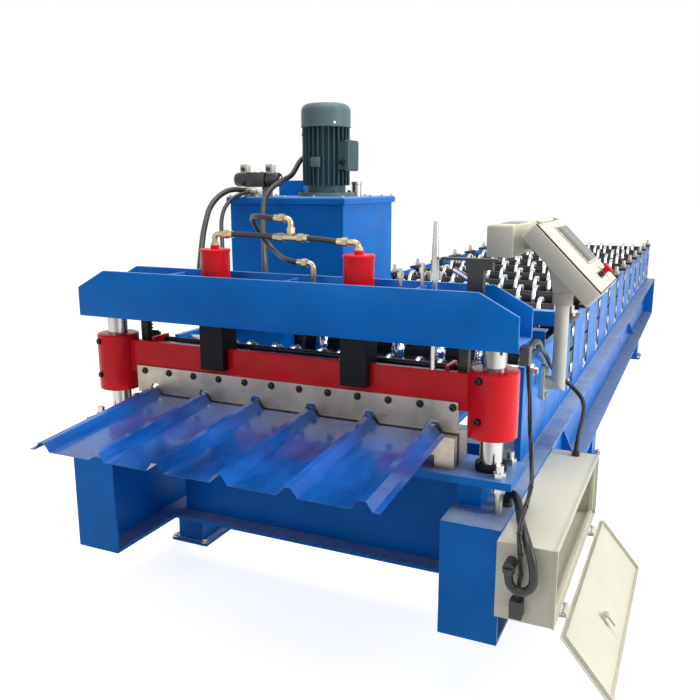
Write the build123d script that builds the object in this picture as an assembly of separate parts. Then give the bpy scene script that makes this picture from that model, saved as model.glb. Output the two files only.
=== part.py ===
from build123d import *
import math
import os

os.makedirs("parts", exist_ok=True)

# Roll forming machine for ribbed roofing sheet. Millimetres.
# X runs across the machine, Y from the delivery end with its shear towards the
# entry end, Z up from the floor. While it is drawn, Y is 0 at the shear blade.

# Base frame: two long H-beams on legs, tied by cross beams.
LEG_HEIGHT = 210
LEG_WIDTH = 120
LEG_DEPTH = 150
LEG_Y = (450, 2150, 4980)
FOOT_PLATE = 16
FOOT_REACH = 15
BEAM_HEIGHT = 350
BEAM_WIDTH = 174
BEAM_WEB = 10
BEAM_FLANGE = 12
BEAM_X = 678
BEAM_FRONT = -167
BEAM_BACK = 6240
END_PLATE = 10
GUSSET_Y = (1358, 4484)
GUSSET_Z = (295, 402)
GUSSET_REACH = 50
GUSSET_THICK = 12
CROSS_WIDTH = 150
CROSS_Y = (242, 2150, 3560, 4980, 6100)

# Side walls of the roll stands, open-topped slots and bearing blocks.
WALL_OUTER_X = 700
WALL_THICK = 22
WALL_HEIGHT = 340
WALL_FRONT = 358
WALL_BACK = 6150
STANDS = 11
FIRST_STAND_Y = 1372
STAND_PITCH = 459
SLOT_WIDTH = 120
SLOT_FLOOR = 25
BLOCK_REACH = 18
BLOCK_RECESS = 3
BLOCK_FOOT = 50
BLOCK_GAP = 16
SEAT_GAP = 0.3
CAP_THICK = 16
CAP_OVERLAP = 36
SCREW_RADIUS = 12
SCREW_TIP = 8
CAP_HALF = 23
SCREW_STAND = 46
NUT_RADIUS = 18
NUT_HEIGHT = 18
JACK_RADIUS = 9
JACK_NUT = 15
JACK_NUT_Z = 14
STUD_AT = (435, 876)
STUD_RADIUS = 13
STUD_REACH = (85, 30)
STUD_NUT = 22

# Rolls: shaft, black spacer tube and the profile rings.
RIBS = 6
RIB_PITCH = 205
RIB_HEIGHT = 25
RIB_TOP = 20
RIB_BASE = 58
PASS_LINE = 764
JOURNAL_RADIUS = 25
JOURNAL_CLEARANCE = 0.85
SHAFT_END = 50
SHAFT_FLUSH = 4
TUBE_RADIUS = 48
TUBE_CLEARANCE = 35
RING_RADIUS = 80
RING_WIDTH = 22
RING_OFFSET = 44
RING_CHAMFER = 3
SHOULDER = 4
FORM_GAP = 1.5
NIP = 5

# Roll drive: geared motor, sprockets and one chain on the left side.
SPROCKET_RADIUS = 60
SPROCKET_WIDTH = 14
SPROCKET_TEETH = 20
SPROCKET_TOOTH = 7
SPROCKET_SHELF = 34
CHAIN_WIDTH = 20
CHAIN_THICK = 16
CHAIN_PLATE = 3
CHAIN_CLEARANCE = 0.6
DRIVE_Y = 800
DRIVE_BODY_X = (-560, 60)
DRIVE_CASE = 150
DRIVE_CASE_TOP = 65
DRIVE_SHAFT_RADIUS = 22
DRIVE_SHAFT_CLEARANCE = 8
DRIVE_MOTOR_RADIUS = 85
DRIVE_FOOT = 20
DRIVE_PLATE = 12
DRIVE_PLATE_Z = 500
DRIVE_MARGIN = 20
DRIVE_SPREAD = 110

# Entry guide table at the far end.
TABLE_LENGTH = 330
TABLE_THICK = 10
GUIDE_HEIGHT = 60
GUIDE_THICK = 12
GUIDE_HALF = 585
TABLE_DROP = 4
CHEEK_INSET = 40
CHEEK_THICK = 12
ENTRY_BAR = 36

# Shear: bed plate, lower die, guide posts and welded top beam.
SHEAR_Y = 13
BED_HALF = 770
BED_DEPTH = 194
BED_THICK = 23
BED_Z = 643
BED_BOLT_INSET = 42
BED_BOLT_Y = 66
BED_BOLT_RADIUS = 12
BED_BOLT_STAND = 40
BED_NUT_RADIUS = 19
PACKER_X = 640
PACKER_WIDTH = 70
PACKER_DEPTH = 120
POST_X = 686
POST_RADIUS = 35
DIE_FRONT = 6
DIE_THICK = 26
DIE_POST_GAP = 23
DIE_FOOT = 60
OUTFEED_DEPTH = 30
OUTFEED_LIFT = 40
HOLDER_DEPTH = 60
HOLDER_HEIGHT = 84
TOP_HALF = 770
TOP_CUT = 114
TOP_DEPTH = 187
TOP_PLATE = 12
TOP_Z = 1039
TOP_SHOULDER = 100
TOP_HEIGHT = 161
TOP_FLOOR = 12
TOP_RIB_X = (-444, 3, 444)
TOP_RIB_HEIGHT = 150

# Moving beam, blade and the two rams.
BEAM_PLATE = 24
BEAM_PLATE_Z = (835, 949)
BEAM_PLATE_HALF = 620
SLEEVE_RADIUS = 73
SLEEVE_Z = (773, 965)
POST_CLEARANCE = 0.85
BLADE_THICK = 12
BLADE_INSET = 2
BLADE_Z = (769, 863)
STROKE_UP = 45
BLADE_CLEARANCE = 5
BLADE_NOTCH_RISE = 9
BLADE_NOTCH_SPREAD = 2
RAM_X = 258
RAM_HALF = 44
RAM_Z = (880, 1045)
RAM_CLEARANCE = 6
PISTON_RADIUS = 22
PISTON_TOP = 1150
CYLINDER_RADIUS = 47.5
CYLINDER_Z = (1112, 1282)
CYLINDER_SEAT = 12
CYLINDER_SEAT_HALF = 80
CYLINDER_LIP = 3
CYLINDER_LIP_HEIGHT = 8
CYLINDER_ROUND = 5
PORT_RADIUS = 15
PORT_HEIGHT = 12
STROKE_ROD_X = 500
STROKE_ROD_RADIUS = 9
STROKE_ROD_TOP = 1385
STROKE_COLLAR_Z = 1218
STROKE_COLLAR_HEIGHT = 22
STROKE_COLLAR_RADIUS = 20
STROKE_SLEEVE_RADIUS = 12.5
STROKE_TIP_RADIUS = 6.5
RACK_X = 586
RACK_WIDTH = 28
RACK_Y = 36
RACK_BODY = 25.4
RACK_BOTTOM = 870
RACK_PITCH = 12
ADDENDUM = 3
DEDENDUM = 3.8
TOOTH_PLAY = 0.5
PRESSURE_ANGLE = 20
PINION_TEETH = 13
SYNC_RADIUS = 10
SYNC_Z = 944
SYNC_BRACKET_X = 540
SYNC_BRACKET = 12
SYNC_BOSS = 18
SWITCH_INSET = 147
SWITCH_Y = 15
SWITCH_DEPTH = 15
SWITCH_POST = 23
SWITCH_POST_TOP = 1252
SWITCH_BOX = (28, 48)
SWITCH_BOX_TOP = 1277
SWITCH_PLATE = (103, 65)
SWITCH_PLATE_THICK = 7
SENSOR_RADIUS = 9
SENSOR_LENGTH = 62
SENSOR_Z = 1219
SENSOR_TILT = 30
STOP_STUDS = ((392, 1247), (461, 1265))
STOP_STUD_RADIUS = 6
STOP_NUT_RADIUS = 11
STOP_NUT_HEIGHT = 14
JUNCTION_Y = (-58, -14)
JUNCTION_Z = (1002, 1054)
JUNCTION_DEPTH = 26
CLIP_X = (740, 764)
CLIP_HEIGHT = 26
CLIP_DEPTH = 24
FLOOR_GLAND_AT = (738, 13)
FLOOR_GLAND_RADIUS = 17
FLOOR_GLAND_HEIGHT = 15

# Hydraulic unit over the bay between shear and rolls.
TANK_X = (-641, -115)
TANK_Y = (700, 1225)
TANK_Z = (962, 1428)
TANK_WALL = 5
LID_THICK = 10
LID_REACH = 12
LID_LIP = 18
LID_ROUND = 8
FILTER_X = (-638, -510)
FILTER_Y = (1112, 1200)
FILTER_HEIGHT = 68
FILLER_AT = (-235, 1100)
FILLER_RADIUS = 22
FILLER_HEIGHT = 62
CHANNEL_HEIGHT = 60
CHANNEL_WIDTH = 60
CHANNEL_WALL = 6
PUMP_MOTOR_AT = (-317, 962)
PUMP_MOTOR_RADIUS = 106
PUMP_MOTOR_HEIGHT = 385
PUMP_COWL = 95
PUMP_COWL_LIP = 4
PUMP_DOME = 32
PUMP_FLANGE = 16
PUMP_FLANGE_RADIUS = 122
PUMP_CORE_RADIUS = 84
PUMP_FIN = 4
PUMP_FIN_START = 30
PUMP_FINS = 28
PUMP_BOX = 110
PUMP_BOX_Z = (112, 227)
PUMP_BOX_REACH = 128
PUMP_BOX_LID = 6
PUMP_BOLT_CIRCLE = 106
PUMP_BOLT = 9
PUMP_BOLT_HEIGHT = 9
VALVE_AT = (-550, 780)
MANIFOLD = 90
MANIFOLD_HEIGHT = 40
VALVE_RADIUS = 30
VALVE_HALF = 115
VALVE_ROUND = 18
VALVE_PLUG_X = 62
VALVE_PLUG = 34

# Console on its pole, switch cabinet and its door.
POLE_AT = (758, 690)
POLE_RADIUS = 25
POLE_BOTTOM = 775
POLE_TOP = 1078
CONSOLE_WIDTH = 450
CONSOLE_LENGTH = 322
CONSOLE_THICK = 66
CONSOLE_TILT = 45
CONSOLE_FACE = (802, 704, 1250)
CONSOLE_ROUND = 12
CONSOLE_LID = 3
CONSOLE_LID_INSET = 9
SCREEN_AT = (-55, -40)
SCREEN_SIZE = (100, 160)
SCREEN_HEIGHT = 7
BUTTONS_AT = ((70, -60), (70, 10))
BUTTON_RADIUS = 14
BUTTON_HEIGHT = 10
STOP_AT = (60, 120)
STOP_RADIUS = 22
STOP_STEM = 12
STOP_HEIGHT = 26
STOP_CAP = 12
POLE_FLANGE = 12
POLE_FLANGE_HALF = 66
POLE_FLANGE_WIDTH = 62
POLE_BOLT = 48
POLE_BOLT_RADIUS = 11
POLE_BOLT_HEIGHT = 9
POLE_PIN_RADIUS = 16
POLE_PIN_HEIGHT = 60
NECK_HALF = 32
COLLAR_RADIUS = 36
COLLAR_Z = (1064, 1111)
NECK_X = (-32, 32)
NECK_TOP_X = (690, 838)
REAR_BOX_X = (527, 617)
REAR_BOX_Z = (1245, 1350)
REAR_ARM_Z = (1262, 1320)
CABINET_X = (765.3, 928)
CABINET_Y = (-210, 610)
CABINET_Z = (328, 550)
CABINET_WALL = 3
RAIN_LIP = (6, 4)
GLAND_X = 808
GLAND_Z = 500
GLAND_RADIUS = 16
GLAND_REACH = 38
GLAND_DROP = 14
LOW_GLAND_X = (812, 846)
LOW_GLAND_Z = (352, 402)
LOW_GLAND_REACH = 34
TOP_GLAND_AT = (852, 570)
TOP_GLAND_RADIUS = 14
TOP_GLAND_HEIGHT = 16
DOOR_THICK = 3
DOOR_GAP = 5
DOOR_EDGE = 13
DOOR_RIM = 12
DOOR_RIM_INSET = 5
LOCK_AT = (96, 445)
LOCK_RADIUS = 11
LOCK_IN = 22
LOCK_OUT = 8
LOCK_CAM = (4, 8, 38)
DOOR_OPEN = 140
DOOR_PIVOT = (936, 318)
DOOR_HINGE_Y = (-80, 480)
HINGE_HALF = 34
HINGE_EAR = 12
HINGE_PIN = 4
HINGE_KNUCKLE = 8

# Hold-down roller between the shear and the first stand.
ROLLER_Y = 560
ROLLER_TUBE = 26.5
ROLLER_RING = 46
ROLLER_RING_WIDTH = 24
ROLLER_RING_OFFSET = 43
ROLLER_ROUND = 8
ROLLER_JOURNAL = 15
ROLLER_LIFT = 2

# Hoses of the ram cylinders and of the tank, with their fittings.
FITTING_RADIUS = 9
FITTING_NUT = 14
FITTING_NUT_LENGTH = 18
FERRULE_RADIUS = 11.5
FERRULE_LENGTH = 17
ELBOW_RADIUS = 16
LEFT_LINE_Z = 1330
RIGHT_LINE_Z = 1317
LINE_REACH = 36
TEE_X = 26
TEE_Z = 1325
TEE_HALF = 26
BRANCH_Z = 1384
BRANCH_REACH = 22
DROP_AT = (79, 60)
DROP_Z = 1243
DROP_REACH = 38
PORT_PIPE_RADIUS = 12
PORT_PIPE_OUT = 36.5
PORT_PIPE_Z = 1062
REAR_PORTS = ((-418, 1085), (-345, 1085), (-145, 1100))
LID_PORT_AT = (-395, 1130)
LID_PORT_HEIGHT = 27
VALVE_PORTS = ((-583, 1463), (-556, 1456))
VALVE_PORT_REACH = 23
SMALL_HOSE = 17
TANK_HOSES = (22, 16, 22)
CONSOLE_CABLE = 16
CABLE_BUNDLE = 14
CONDUIT = 24
BITE = 1.5

# Sheet in the machine, cut through at the blade.
SHEET_THICK = 1
SHEET_FRONT = -540
SHEET_BACK = 330
SHEET_HALF = 560
SHEET_DROOP = 42

BEAM_TOP = LEG_HEIGHT + BEAM_HEIGHT
WALL_TOP = BEAM_TOP + WALL_HEIGHT
WALL_MID_X = WALL_OUTER_X - WALL_THICK / 2
LOWER_Z = PASS_LINE - RING_RADIUS
UPPER_Z = LOWER_Z + 2 * RING_RADIUS + NIP
STAND_Y = [FIRST_STAND_Y + STAND_PITCH * i for i in range(STANDS)]
RIB_X = [(i - (RIBS - 1) / 2) * RIB_PITCH for i in range(RIBS)]
BED_TOP = BED_Z + BED_THICK
TOP_TOP = TOP_Z + TOP_HEIGHT
CHAIN_X = WALL_OUTER_X + SPROCKET_SHELF
BLOCK_SPAN = (WALL_OUTER_X - WALL_THICK - BLOCK_REACH, WALL_OUTER_X - BLOCK_RECESS)
TUBE_HALF = BLOCK_SPAN[0] - TUBE_CLEARANCE
BED_BOLT_X = BED_HALF - BED_BOLT_INSET
DIE_HALF = POST_X - SLEEVE_RADIUS - DIE_POST_GAP
BLADE_HALF = DIE_HALF - BLADE_INSET
TOP_FLAT_HALF = TOP_HALF - TOP_CUT
SWITCH_X = TOP_HALF - SWITCH_INSET
PINION_PITCH = RACK_PITCH * PINION_TEETH / (2 * math.pi)
RACK_LINE = RACK_Y + RACK_BODY + DEDENDUM
SYNC_Y = RACK_LINE + PINION_PITCH
LID_TOP = TANK_Z[1] + LID_THICK
ROLLER_Z = PASS_LINE + ROLLER_RING + ROLLER_LIFT
LINE_Y = SHEAR_Y
PORT_TOP = CYLINDER_Z[1] + PORT_HEIGHT


def block(x, y, z):
    """Box between two limits on each axis."""
    sizes = [b - a for a, b in (x, y, z)]
    middle = [(a + b) / 2 for a, b in (x, y, z)]
    return Pos(*middle) * Box(*sizes)


def rod_x(radius, x, y, z):
    """Round bar along X."""
    return Pos((x[0] + x[1]) / 2, y, z) * Rot(0, 90, 0) * Cylinder(radius, x[1] - x[0])


def rod_z(radius, x, y, z):
    """Round bar along Z."""
    return Pos(x, y, (z[0] + z[1]) / 2) * Cylinder(radius, z[1] - z[0])


def rod_y(radius, x, y, z):
    """Round bar along Y."""
    return Pos(x, (y[0] + y[1]) / 2, z) * Rot(90, 0, 0) * Cylinder(radius, y[1] - y[0])


def hex_x(radius, x, y, z):
    """Hexagon nut along X."""
    return Pos(x[0], y, z) * Rot(0, 90, 0) * extrude(RegularPolygon(radius, 6), x[1] - x[0])


def hex_z(radius, x, y, z):
    """Hexagon nut along Z."""
    return Pos(x, y, z[0]) * extrude(RegularPolygon(radius, 6), z[1] - z[0])


def plate_xz(points, y):
    """Plate with an outline in X and Z, between two limits in Y."""
    outline = make_face(Polyline(*[(px, y[0], pz) for px, pz in points], close=True))
    return extrude(outline, y[1] - y[0], dir=(0, 1, 0))


def h_section(width, height, web, flange):
    """Outline of an H-beam, standing, centred on its axis."""
    half, top, in_top = width / 2, height / 2, height / 2 - flange
    return Rectangle(width, height) - [
        Pos(side * (half + web / 2) / 2, 0) * Rectangle(half - web / 2, 2 * in_top)
        for side in (-1, 1)]


def base_beam(side):
    """Long H-beam with closed ends, small gussets on its outer web and its legs."""
    mid_z = LEG_HEIGHT + BEAM_HEIGHT / 2
    x = side * BEAM_X
    plane = Plane(origin=(x, BEAM_FRONT, mid_z), x_dir=(1, 0, 0), z_dir=(0, 1, 0))
    section = h_section(BEAM_WIDTH, BEAM_HEIGHT, BEAM_WEB, BEAM_FLANGE)
    beam = extrude(plane * section, BEAM_BACK - BEAM_FRONT)
    half = BEAM_WIDTH / 2
    span = (x - half, x + half)
    for y in (BEAM_FRONT, BEAM_BACK - END_PLATE):
        beam += block(span, (y, y + END_PLATE), (LEG_HEIGHT, BEAM_TOP))
    web = x + side * BEAM_WEB / 2
    for y in GUSSET_Y:
        corners = [(web, GUSSET_Z[0]), (web + side * GUSSET_REACH, GUSSET_Z[0]), (web, GUSSET_Z[1])]
        beam += plate_xz(corners, (y, y + GUSSET_THICK))
    for y in LEG_Y:
        leg = block((x - LEG_WIDTH / 2, x + LEG_WIDTH / 2),
                    (y - LEG_DEPTH / 2, y + LEG_DEPTH / 2), (0, LEG_HEIGHT))
        foot = block(span, (y - LEG_DEPTH / 2 - FOOT_REACH, y + LEG_DEPTH / 2 + FOOT_REACH),
                     (0, FOOT_PLATE))
        beam += leg + foot
    return beam


def cross_beams():
    """H-beams between the two long beams."""
    inner = BEAM_X - BEAM_WIDTH / 2
    mid_z = LEG_HEIGHT + BEAM_HEIGHT / 2
    beams = []
    for y in CROSS_Y:
        plane = Plane(origin=(-inner, y, mid_z), x_dir=(0, 1, 0), z_dir=(1, 0, 0))
        section = h_section(CROSS_WIDTH, BEAM_HEIGHT, BEAM_WEB, BEAM_FLANGE)
        beams.append(extrude(plane * section, 2 * inner))
    return beams


def wall(side):
    """Stand wall: one long plate with an open-topped slot for each stand."""
    outer = side * WALL_OUTER_X
    inner = side * (WALL_OUTER_X - WALL_THICK)
    span = (min(outer, inner), max(outer, inner))
    through = (span[0] - 1, span[1] + 1)
    plate = block(span, (WALL_FRONT, WALL_BACK), (BEAM_TOP, WALL_TOP))
    plate -= [block(through, (y - SLOT_WIDTH / 2, y + SLOT_WIDTH / 2),
                    (BEAM_TOP + SLOT_FLOOR, WALL_TOP + 1)) for y in STAND_Y]
    plate -= rod_x(ROLLER_JOURNAL + JOURNAL_CLEARANCE, through, ROLLER_Y, ROLLER_Z)
    plate -= rod_x(STUD_RADIUS + SEAT_GAP, through, *STUD_AT)
    if side < 0:
        plate -= rod_x(DRIVE_SHAFT_RADIUS + DRIVE_SHAFT_CLEARANCE, through, DRIVE_Y, LOWER_Z)
    return plate


def bearing_blocks():
    """Lower and upper block of each stand, sliding in the slots."""
    blocks = []
    split = (LOWER_Z + UPPER_Z) / 2
    half = SLOT_WIDTH / 2 - SEAT_GAP
    for side in (-1, 1):
        span = sorted(side * x for x in BLOCK_SPAN)
        for y in STAND_Y:
            for z, height in ((LOWER_Z, (LOWER_Z - BLOCK_FOOT, split - BLOCK_GAP / 2)),
                              (UPPER_Z, (split + BLOCK_GAP / 2, WALL_TOP - BLOCK_GAP / 2))):
                body = block(span, (y - half, y + half), height)
                body -= rod_x(JOURNAL_RADIUS + JOURNAL_CLEARANCE, (span[0] - 1, span[1] + 1), y, z)
                blocks.append(body)
    return blocks


def screw_caps():
    """Cap over each slot with the screw that presses on the upper block."""
    caps = []
    half = SLOT_WIDTH / 2 + CAP_OVERLAP
    cap_top = WALL_TOP + CAP_THICK
    for side in (-1, 1):
        x = side * WALL_MID_X
        for y in STAND_Y:
            cap = block((x - CAP_HALF, x + CAP_HALF), (y - half, y + half), (WALL_TOP, cap_top))
            cap += rod_z(SCREW_TIP, x, y, (WALL_TOP - BLOCK_GAP / 2, WALL_TOP))
            cap += rod_z(SCREW_RADIUS, x, y, (cap_top, cap_top + SCREW_STAND))
            caps.append(cap + hex_z(NUT_RADIUS, x, y, (cap_top, cap_top + NUT_HEIGHT)))
    return caps


def jack_screws():
    """Screw with its nut between each slot's floor and the lower block."""
    screws = []
    floor = BEAM_TOP + SLOT_FLOOR
    nut = (floor + JACK_NUT_Z, floor + JACK_NUT_Z + NUT_HEIGHT)
    for side in (-1, 1):
        x = side * WALL_MID_X
        for y in STAND_Y:
            screw = rod_z(JACK_RADIUS, x, y, (floor, LOWER_Z - BLOCK_FOOT))
            screws.append(screw + hex_z(JACK_NUT, x, y, nut))
    return screws


def wall_studs():
    """Threaded studs through the front ends of the walls, each with a nut outside."""
    studs = []
    y, z = STUD_AT
    for side in (-1, 1):
        ends = (side * (WALL_OUTER_X - WALL_THICK - STUD_REACH[0]), side * (WALL_OUTER_X + STUD_REACH[1]))
        faces = (side * WALL_OUTER_X, side * (WALL_OUTER_X + NUT_HEIGHT))
        stud = rod_x(STUD_RADIUS, sorted(ends), y, z)
        studs.append(stud + hex_x(STUD_NUT, sorted(faces), y, z))
    return studs


def turned(profile, y, z):
    """Turned part from (x, radius) points, spun about an axis along X."""
    points = [(profile[0][0], y, z)]
    points += [(px, y, z + radius) for px, radius in profile]
    points.append((profile[-1][0], y, z))
    return revolve(make_face(Polyline(*points, close=True)), Axis((0, y, z), (1, 0, 0)))


def band(x, half):
    """Both flanks of a ring from its right half, given as (offset, radius) from its middle."""
    return [(x - dx, r) for dx, r in reversed(half)] + [(x + dx, r) for dx, r in half]


def roll(bands, left, right, y, z):
    """Roll turned in one piece: journals, spacer tube and the rings on it."""
    profile = [(-left, JOURNAL_RADIUS), (-TUBE_HALF, JOURNAL_RADIUS), (-TUBE_HALF, TUBE_RADIUS)]
    profile += bands
    profile += [(TUBE_HALF, TUBE_RADIUS), (TUBE_HALF, JOURNAL_RADIUS), (right, JOURNAL_RADIUS)]
    return turned(profile, y, z)


def upper_roll(y):
    """Upper roll: a pair of chamfered rings that hold the sheet down beside each rib."""
    half = RING_WIDTH / 2
    ring = [(half - RING_CHAMFER, RING_RADIUS), (half, RING_RADIUS - RING_CHAMFER), (half, TUBE_RADIUS)]
    bands = []
    for x in RIB_X:
        bands += band(x - RING_OFFSET, ring) + band(x + RING_OFFSET, ring)
    reach = WALL_OUTER_X + SHAFT_FLUSH
    return roll(bands, reach, reach, y, UPPER_Z)


def lower_roll(stand, y):
    """Lower roll: its rings press the ribs up, a little higher at each stand towards the shear."""
    rise = (RIB_HEIGHT - FORM_GAP) * (STANDS - 1 - stand) / (STANDS - 1)
    base = RIB_BASE / 2
    ring = [(base + SHOULDER, RING_RADIUS), (base + SHOULDER, TUBE_RADIUS)]
    if rise:
        ring = [(RIB_TOP / 2 - FORM_GAP, RING_RADIUS + rise), (base - FORM_GAP, RING_RADIUS)] + ring
    bands = []
    for x in RIB_X:
        bands += band(x, ring)
    body = roll(bands, WALL_OUTER_X + SHAFT_END, WALL_OUTER_X + SHAFT_FLUSH, y, LOWER_Z)
    return body + sprocket(y)


def sprocket(y):
    """Chain wheel with tapered teeth, outside the left wall."""
    points = []
    for tooth in range(SPROCKET_TEETH):
        for share, radius in ((-0.3, SPROCKET_RADIUS - SPROCKET_TOOTH), (-0.12, SPROCKET_RADIUS),
                              (0.12, SPROCKET_RADIUS), (0.3, SPROCKET_RADIUS - SPROCKET_TOOTH)):
            angle = 2 * math.pi * (tooth + share) / SPROCKET_TEETH
            points.append((-CHAIN_X - SPROCKET_WIDTH / 2, y + radius * math.cos(angle),
                           LOWER_Z + radius * math.sin(angle)))
    return extrude(make_face(Polyline(*points, close=True)), SPROCKET_WIDTH, dir=(1, 0, 0))


def outfeed_roller():
    """Hold-down roller with rounded rings beside the ribs, running in the two walls."""
    reach = WALL_OUTER_X + SHAFT_FLUSH
    body = rod_x(ROLLER_TUBE, (-TUBE_HALF, TUBE_HALF), ROLLER_Y, ROLLER_Z)
    body += rod_x(ROLLER_JOURNAL, (-reach, reach), ROLLER_Y, ROLLER_Z)
    half = ROLLER_RING_WIDTH / 2
    for x in RIB_X:
        for middle in (x - ROLLER_RING_OFFSET, x + ROLLER_RING_OFFSET):
            ring = rod_x(ROLLER_RING, (middle - half, middle + half), ROLLER_Y, ROLLER_Z)
            body += fillet(ring.edges().filter_by(GeomType.CIRCLE), ROLLER_ROUND)
    return body


def rib_profile(half, z, rise=0.0, spread=0.0):
    """Ribbed line across the machine at height z, its ribs made taller and wider."""
    line = [(-half, z)]
    for x in RIB_X:
        base, top = RIB_BASE / 2 + spread, RIB_TOP / 2 + spread
        peak = z + RIB_HEIGHT + rise
        line += [(x - base, z), (x - top, peak), (x + top, peak), (x + base, z)]
    line.append((half, z))
    return line


def drive_seat():
    """Two channels between the webs of the long beams, with the motor's plate."""
    reach = BEAM_X - BEAM_WEB / 2
    low = DRIVE_PLATE_Z - CHANNEL_HEIGHT
    seat = block((DRIVE_BODY_X[0] - DRIVE_MARGIN, DRIVE_BODY_X[1] + DRIVE_MARGIN),
                 (DRIVE_Y - DRIVE_SPREAD, DRIVE_Y + DRIVE_SPREAD),
                 (DRIVE_PLATE_Z, DRIVE_PLATE_Z + DRIVE_PLATE))
    for y in (DRIVE_Y - DRIVE_SPREAD, DRIVE_Y + DRIVE_SPREAD - CHANNEL_WIDTH):
        seat += block((-reach, reach), (y, y + CHANNEL_WIDTH), (low, DRIVE_PLATE_Z))
    return seat


def drive_motor():
    """Gear case with the motor flanged to it, standing on its seat."""
    floor = DRIVE_PLATE_Z + DRIVE_PLATE
    case = block((DRIVE_BODY_X[0], DRIVE_BODY_X[0] + DRIVE_CASE),
                 (DRIVE_Y - DRIVE_CASE / 2, DRIVE_Y + DRIVE_CASE / 2),
                 (floor, LOWER_Z + DRIVE_CASE_TOP))
    case -= rod_x(DRIVE_SHAFT_RADIUS + JOURNAL_CLEARANCE,
                  (DRIVE_BODY_X[0] - 1, DRIVE_BODY_X[0] + DRIVE_CASE / 2), DRIVE_Y, LOWER_Z)
    motor_z = floor + DRIVE_MOTOR_RADIUS + DRIVE_FOOT
    motor = rod_x(DRIVE_MOTOR_RADIUS, (DRIVE_BODY_X[0] + DRIVE_CASE, DRIVE_BODY_X[1]),
                  DRIVE_Y, motor_z)
    foot = block((DRIVE_BODY_X[0] + 2 * DRIVE_CASE, DRIVE_BODY_X[1] - DRIVE_CASE / 2),
                 (DRIVE_Y - DRIVE_MOTOR_RADIUS / 2, DRIVE_Y + DRIVE_MOTOR_RADIUS / 2),
                 (floor, motor_z))
    return case + motor + foot


def drive_sprocket():
    """Output shaft of the gear case and its sprocket."""
    shaft = rod_x(DRIVE_SHAFT_RADIUS, (-CHAIN_X - SPROCKET_WIDTH,
                                       DRIVE_BODY_X[0] + DRIVE_CASE / 2 - 1), DRIVE_Y, LOWER_Z)
    return shaft + sprocket(DRIVE_Y)


def drive_chain():
    """One chain loop, two side plates and the rollers between, round all the sprockets."""
    length = STAND_Y[-1] - DRIVE_Y
    middle = (STAND_Y[-1] + DRIVE_Y) / 2
    inner = SPROCKET_RADIUS + CHAIN_CLEARANCE
    outer = inner + CHAIN_THICK
    side = CHAIN_WIDTH / 2

    def loop(margin, start, width):
        plane = Plane(origin=(-CHAIN_X + start, middle, LOWER_Z), x_dir=(0, 1, 0), z_dir=(1, 0, 0))
        ring = SlotCenterToCenter(length, 2 * (outer - margin))
        return extrude(plane * (ring - SlotCenterToCenter(length, 2 * (inner + margin))), width)

    chain = loop(CHAIN_PLATE, -side, CHAIN_WIDTH)
    return chain + loop(0, -side, CHAIN_PLATE) + loop(0, side - CHAIN_PLATE, CHAIN_PLATE)


def entry_table():
    """Table with side guides, between cheeks that stand on the long beams."""
    cheek_x = BEAM_X - BEAM_WIDTH / 2 + CHEEK_INSET
    front = WALL_BACK + SEAT_GAP
    top = PASS_LINE - TABLE_DROP
    table = block((-cheek_x, cheek_x), (front, front + TABLE_LENGTH), (top - TABLE_THICK, top))
    for side in (-1, 1):
        x = side * (cheek_x + CHEEK_THICK / 2)
        table += block((x - CHEEK_THICK / 2, x + CHEEK_THICK / 2), (front, BEAM_BACK),
                       (BEAM_TOP, WALL_TOP))
        guide = side * GUIDE_HALF
        table += block((guide - GUIDE_THICK / 2, guide + GUIDE_THICK / 2),
                       (front, front + TABLE_LENGTH), (top, top + GUIDE_HEIGHT))
    for y, z in ((front + ENTRY_BAR, WALL_TOP - ENTRY_BAR), (BEAM_BACK - ENTRY_BAR, UPPER_Z)):
        table += rod_x(ENTRY_BAR / 2, (-cheek_x, cheek_x), y, z)
    return table


def bed_plate():
    """Base plate of the shear, with packers on the long beams and clear bolt holes."""
    half = BED_DEPTH / 2
    plate = block((-BED_HALF, BED_HALF), (SHEAR_Y - half, SHEAR_Y + half), (BED_Z, BED_TOP))
    for side in (-1, 1):
        x = side * PACKER_X
        plate += block((x - PACKER_WIDTH / 2, x + PACKER_WIDTH / 2),
                       (SHEAR_Y - PACKER_DEPTH / 2, SHEAR_Y + PACKER_DEPTH / 2), (BEAM_TOP, BED_Z))
        for dy in (-BED_BOLT_Y, BED_BOLT_Y):
            plate -= rod_z(BED_BOLT_RADIUS + SEAT_GAP, side * BED_BOLT_X, SHEAR_Y + dy,
                           (BED_Z - 1, BED_TOP + 1))
    return plate


def bed_bolts():
    """Levelling bolts of the bed plate, with nuts above and below it."""
    bolts = []
    for x in (-BED_BOLT_X, BED_BOLT_X):
        for dy in (-BED_BOLT_Y, BED_BOLT_Y):
            y = SHEAR_Y + dy
            bolt = rod_z(BED_BOLT_RADIUS, x, y, (BEAM_TOP, BED_TOP + BED_BOLT_STAND))
            nut = extrude(RegularPolygon(BED_NUT_RADIUS, 6), NUT_HEIGHT)
            bolt += Pos(x, y, BED_TOP) * nut
            bolt += Pos(x, y, BED_Z - NUT_HEIGHT) * nut
            bolts.append(bolt)
    return bolts


def ribbed_bar(y, low):
    """Steel bar whose top edge follows the ribs of the sheet."""
    top = rib_profile(DIE_HALF, PASS_LINE - SEAT_GAP)
    return plate_xz([(-DIE_HALF, low)] + top + [(DIE_HALF, low)], y)


def lower_die():
    """Fixed knife behind the blade."""
    return ribbed_bar((DIE_FRONT, DIE_FRONT + DIE_THICK), BED_TOP)


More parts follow.
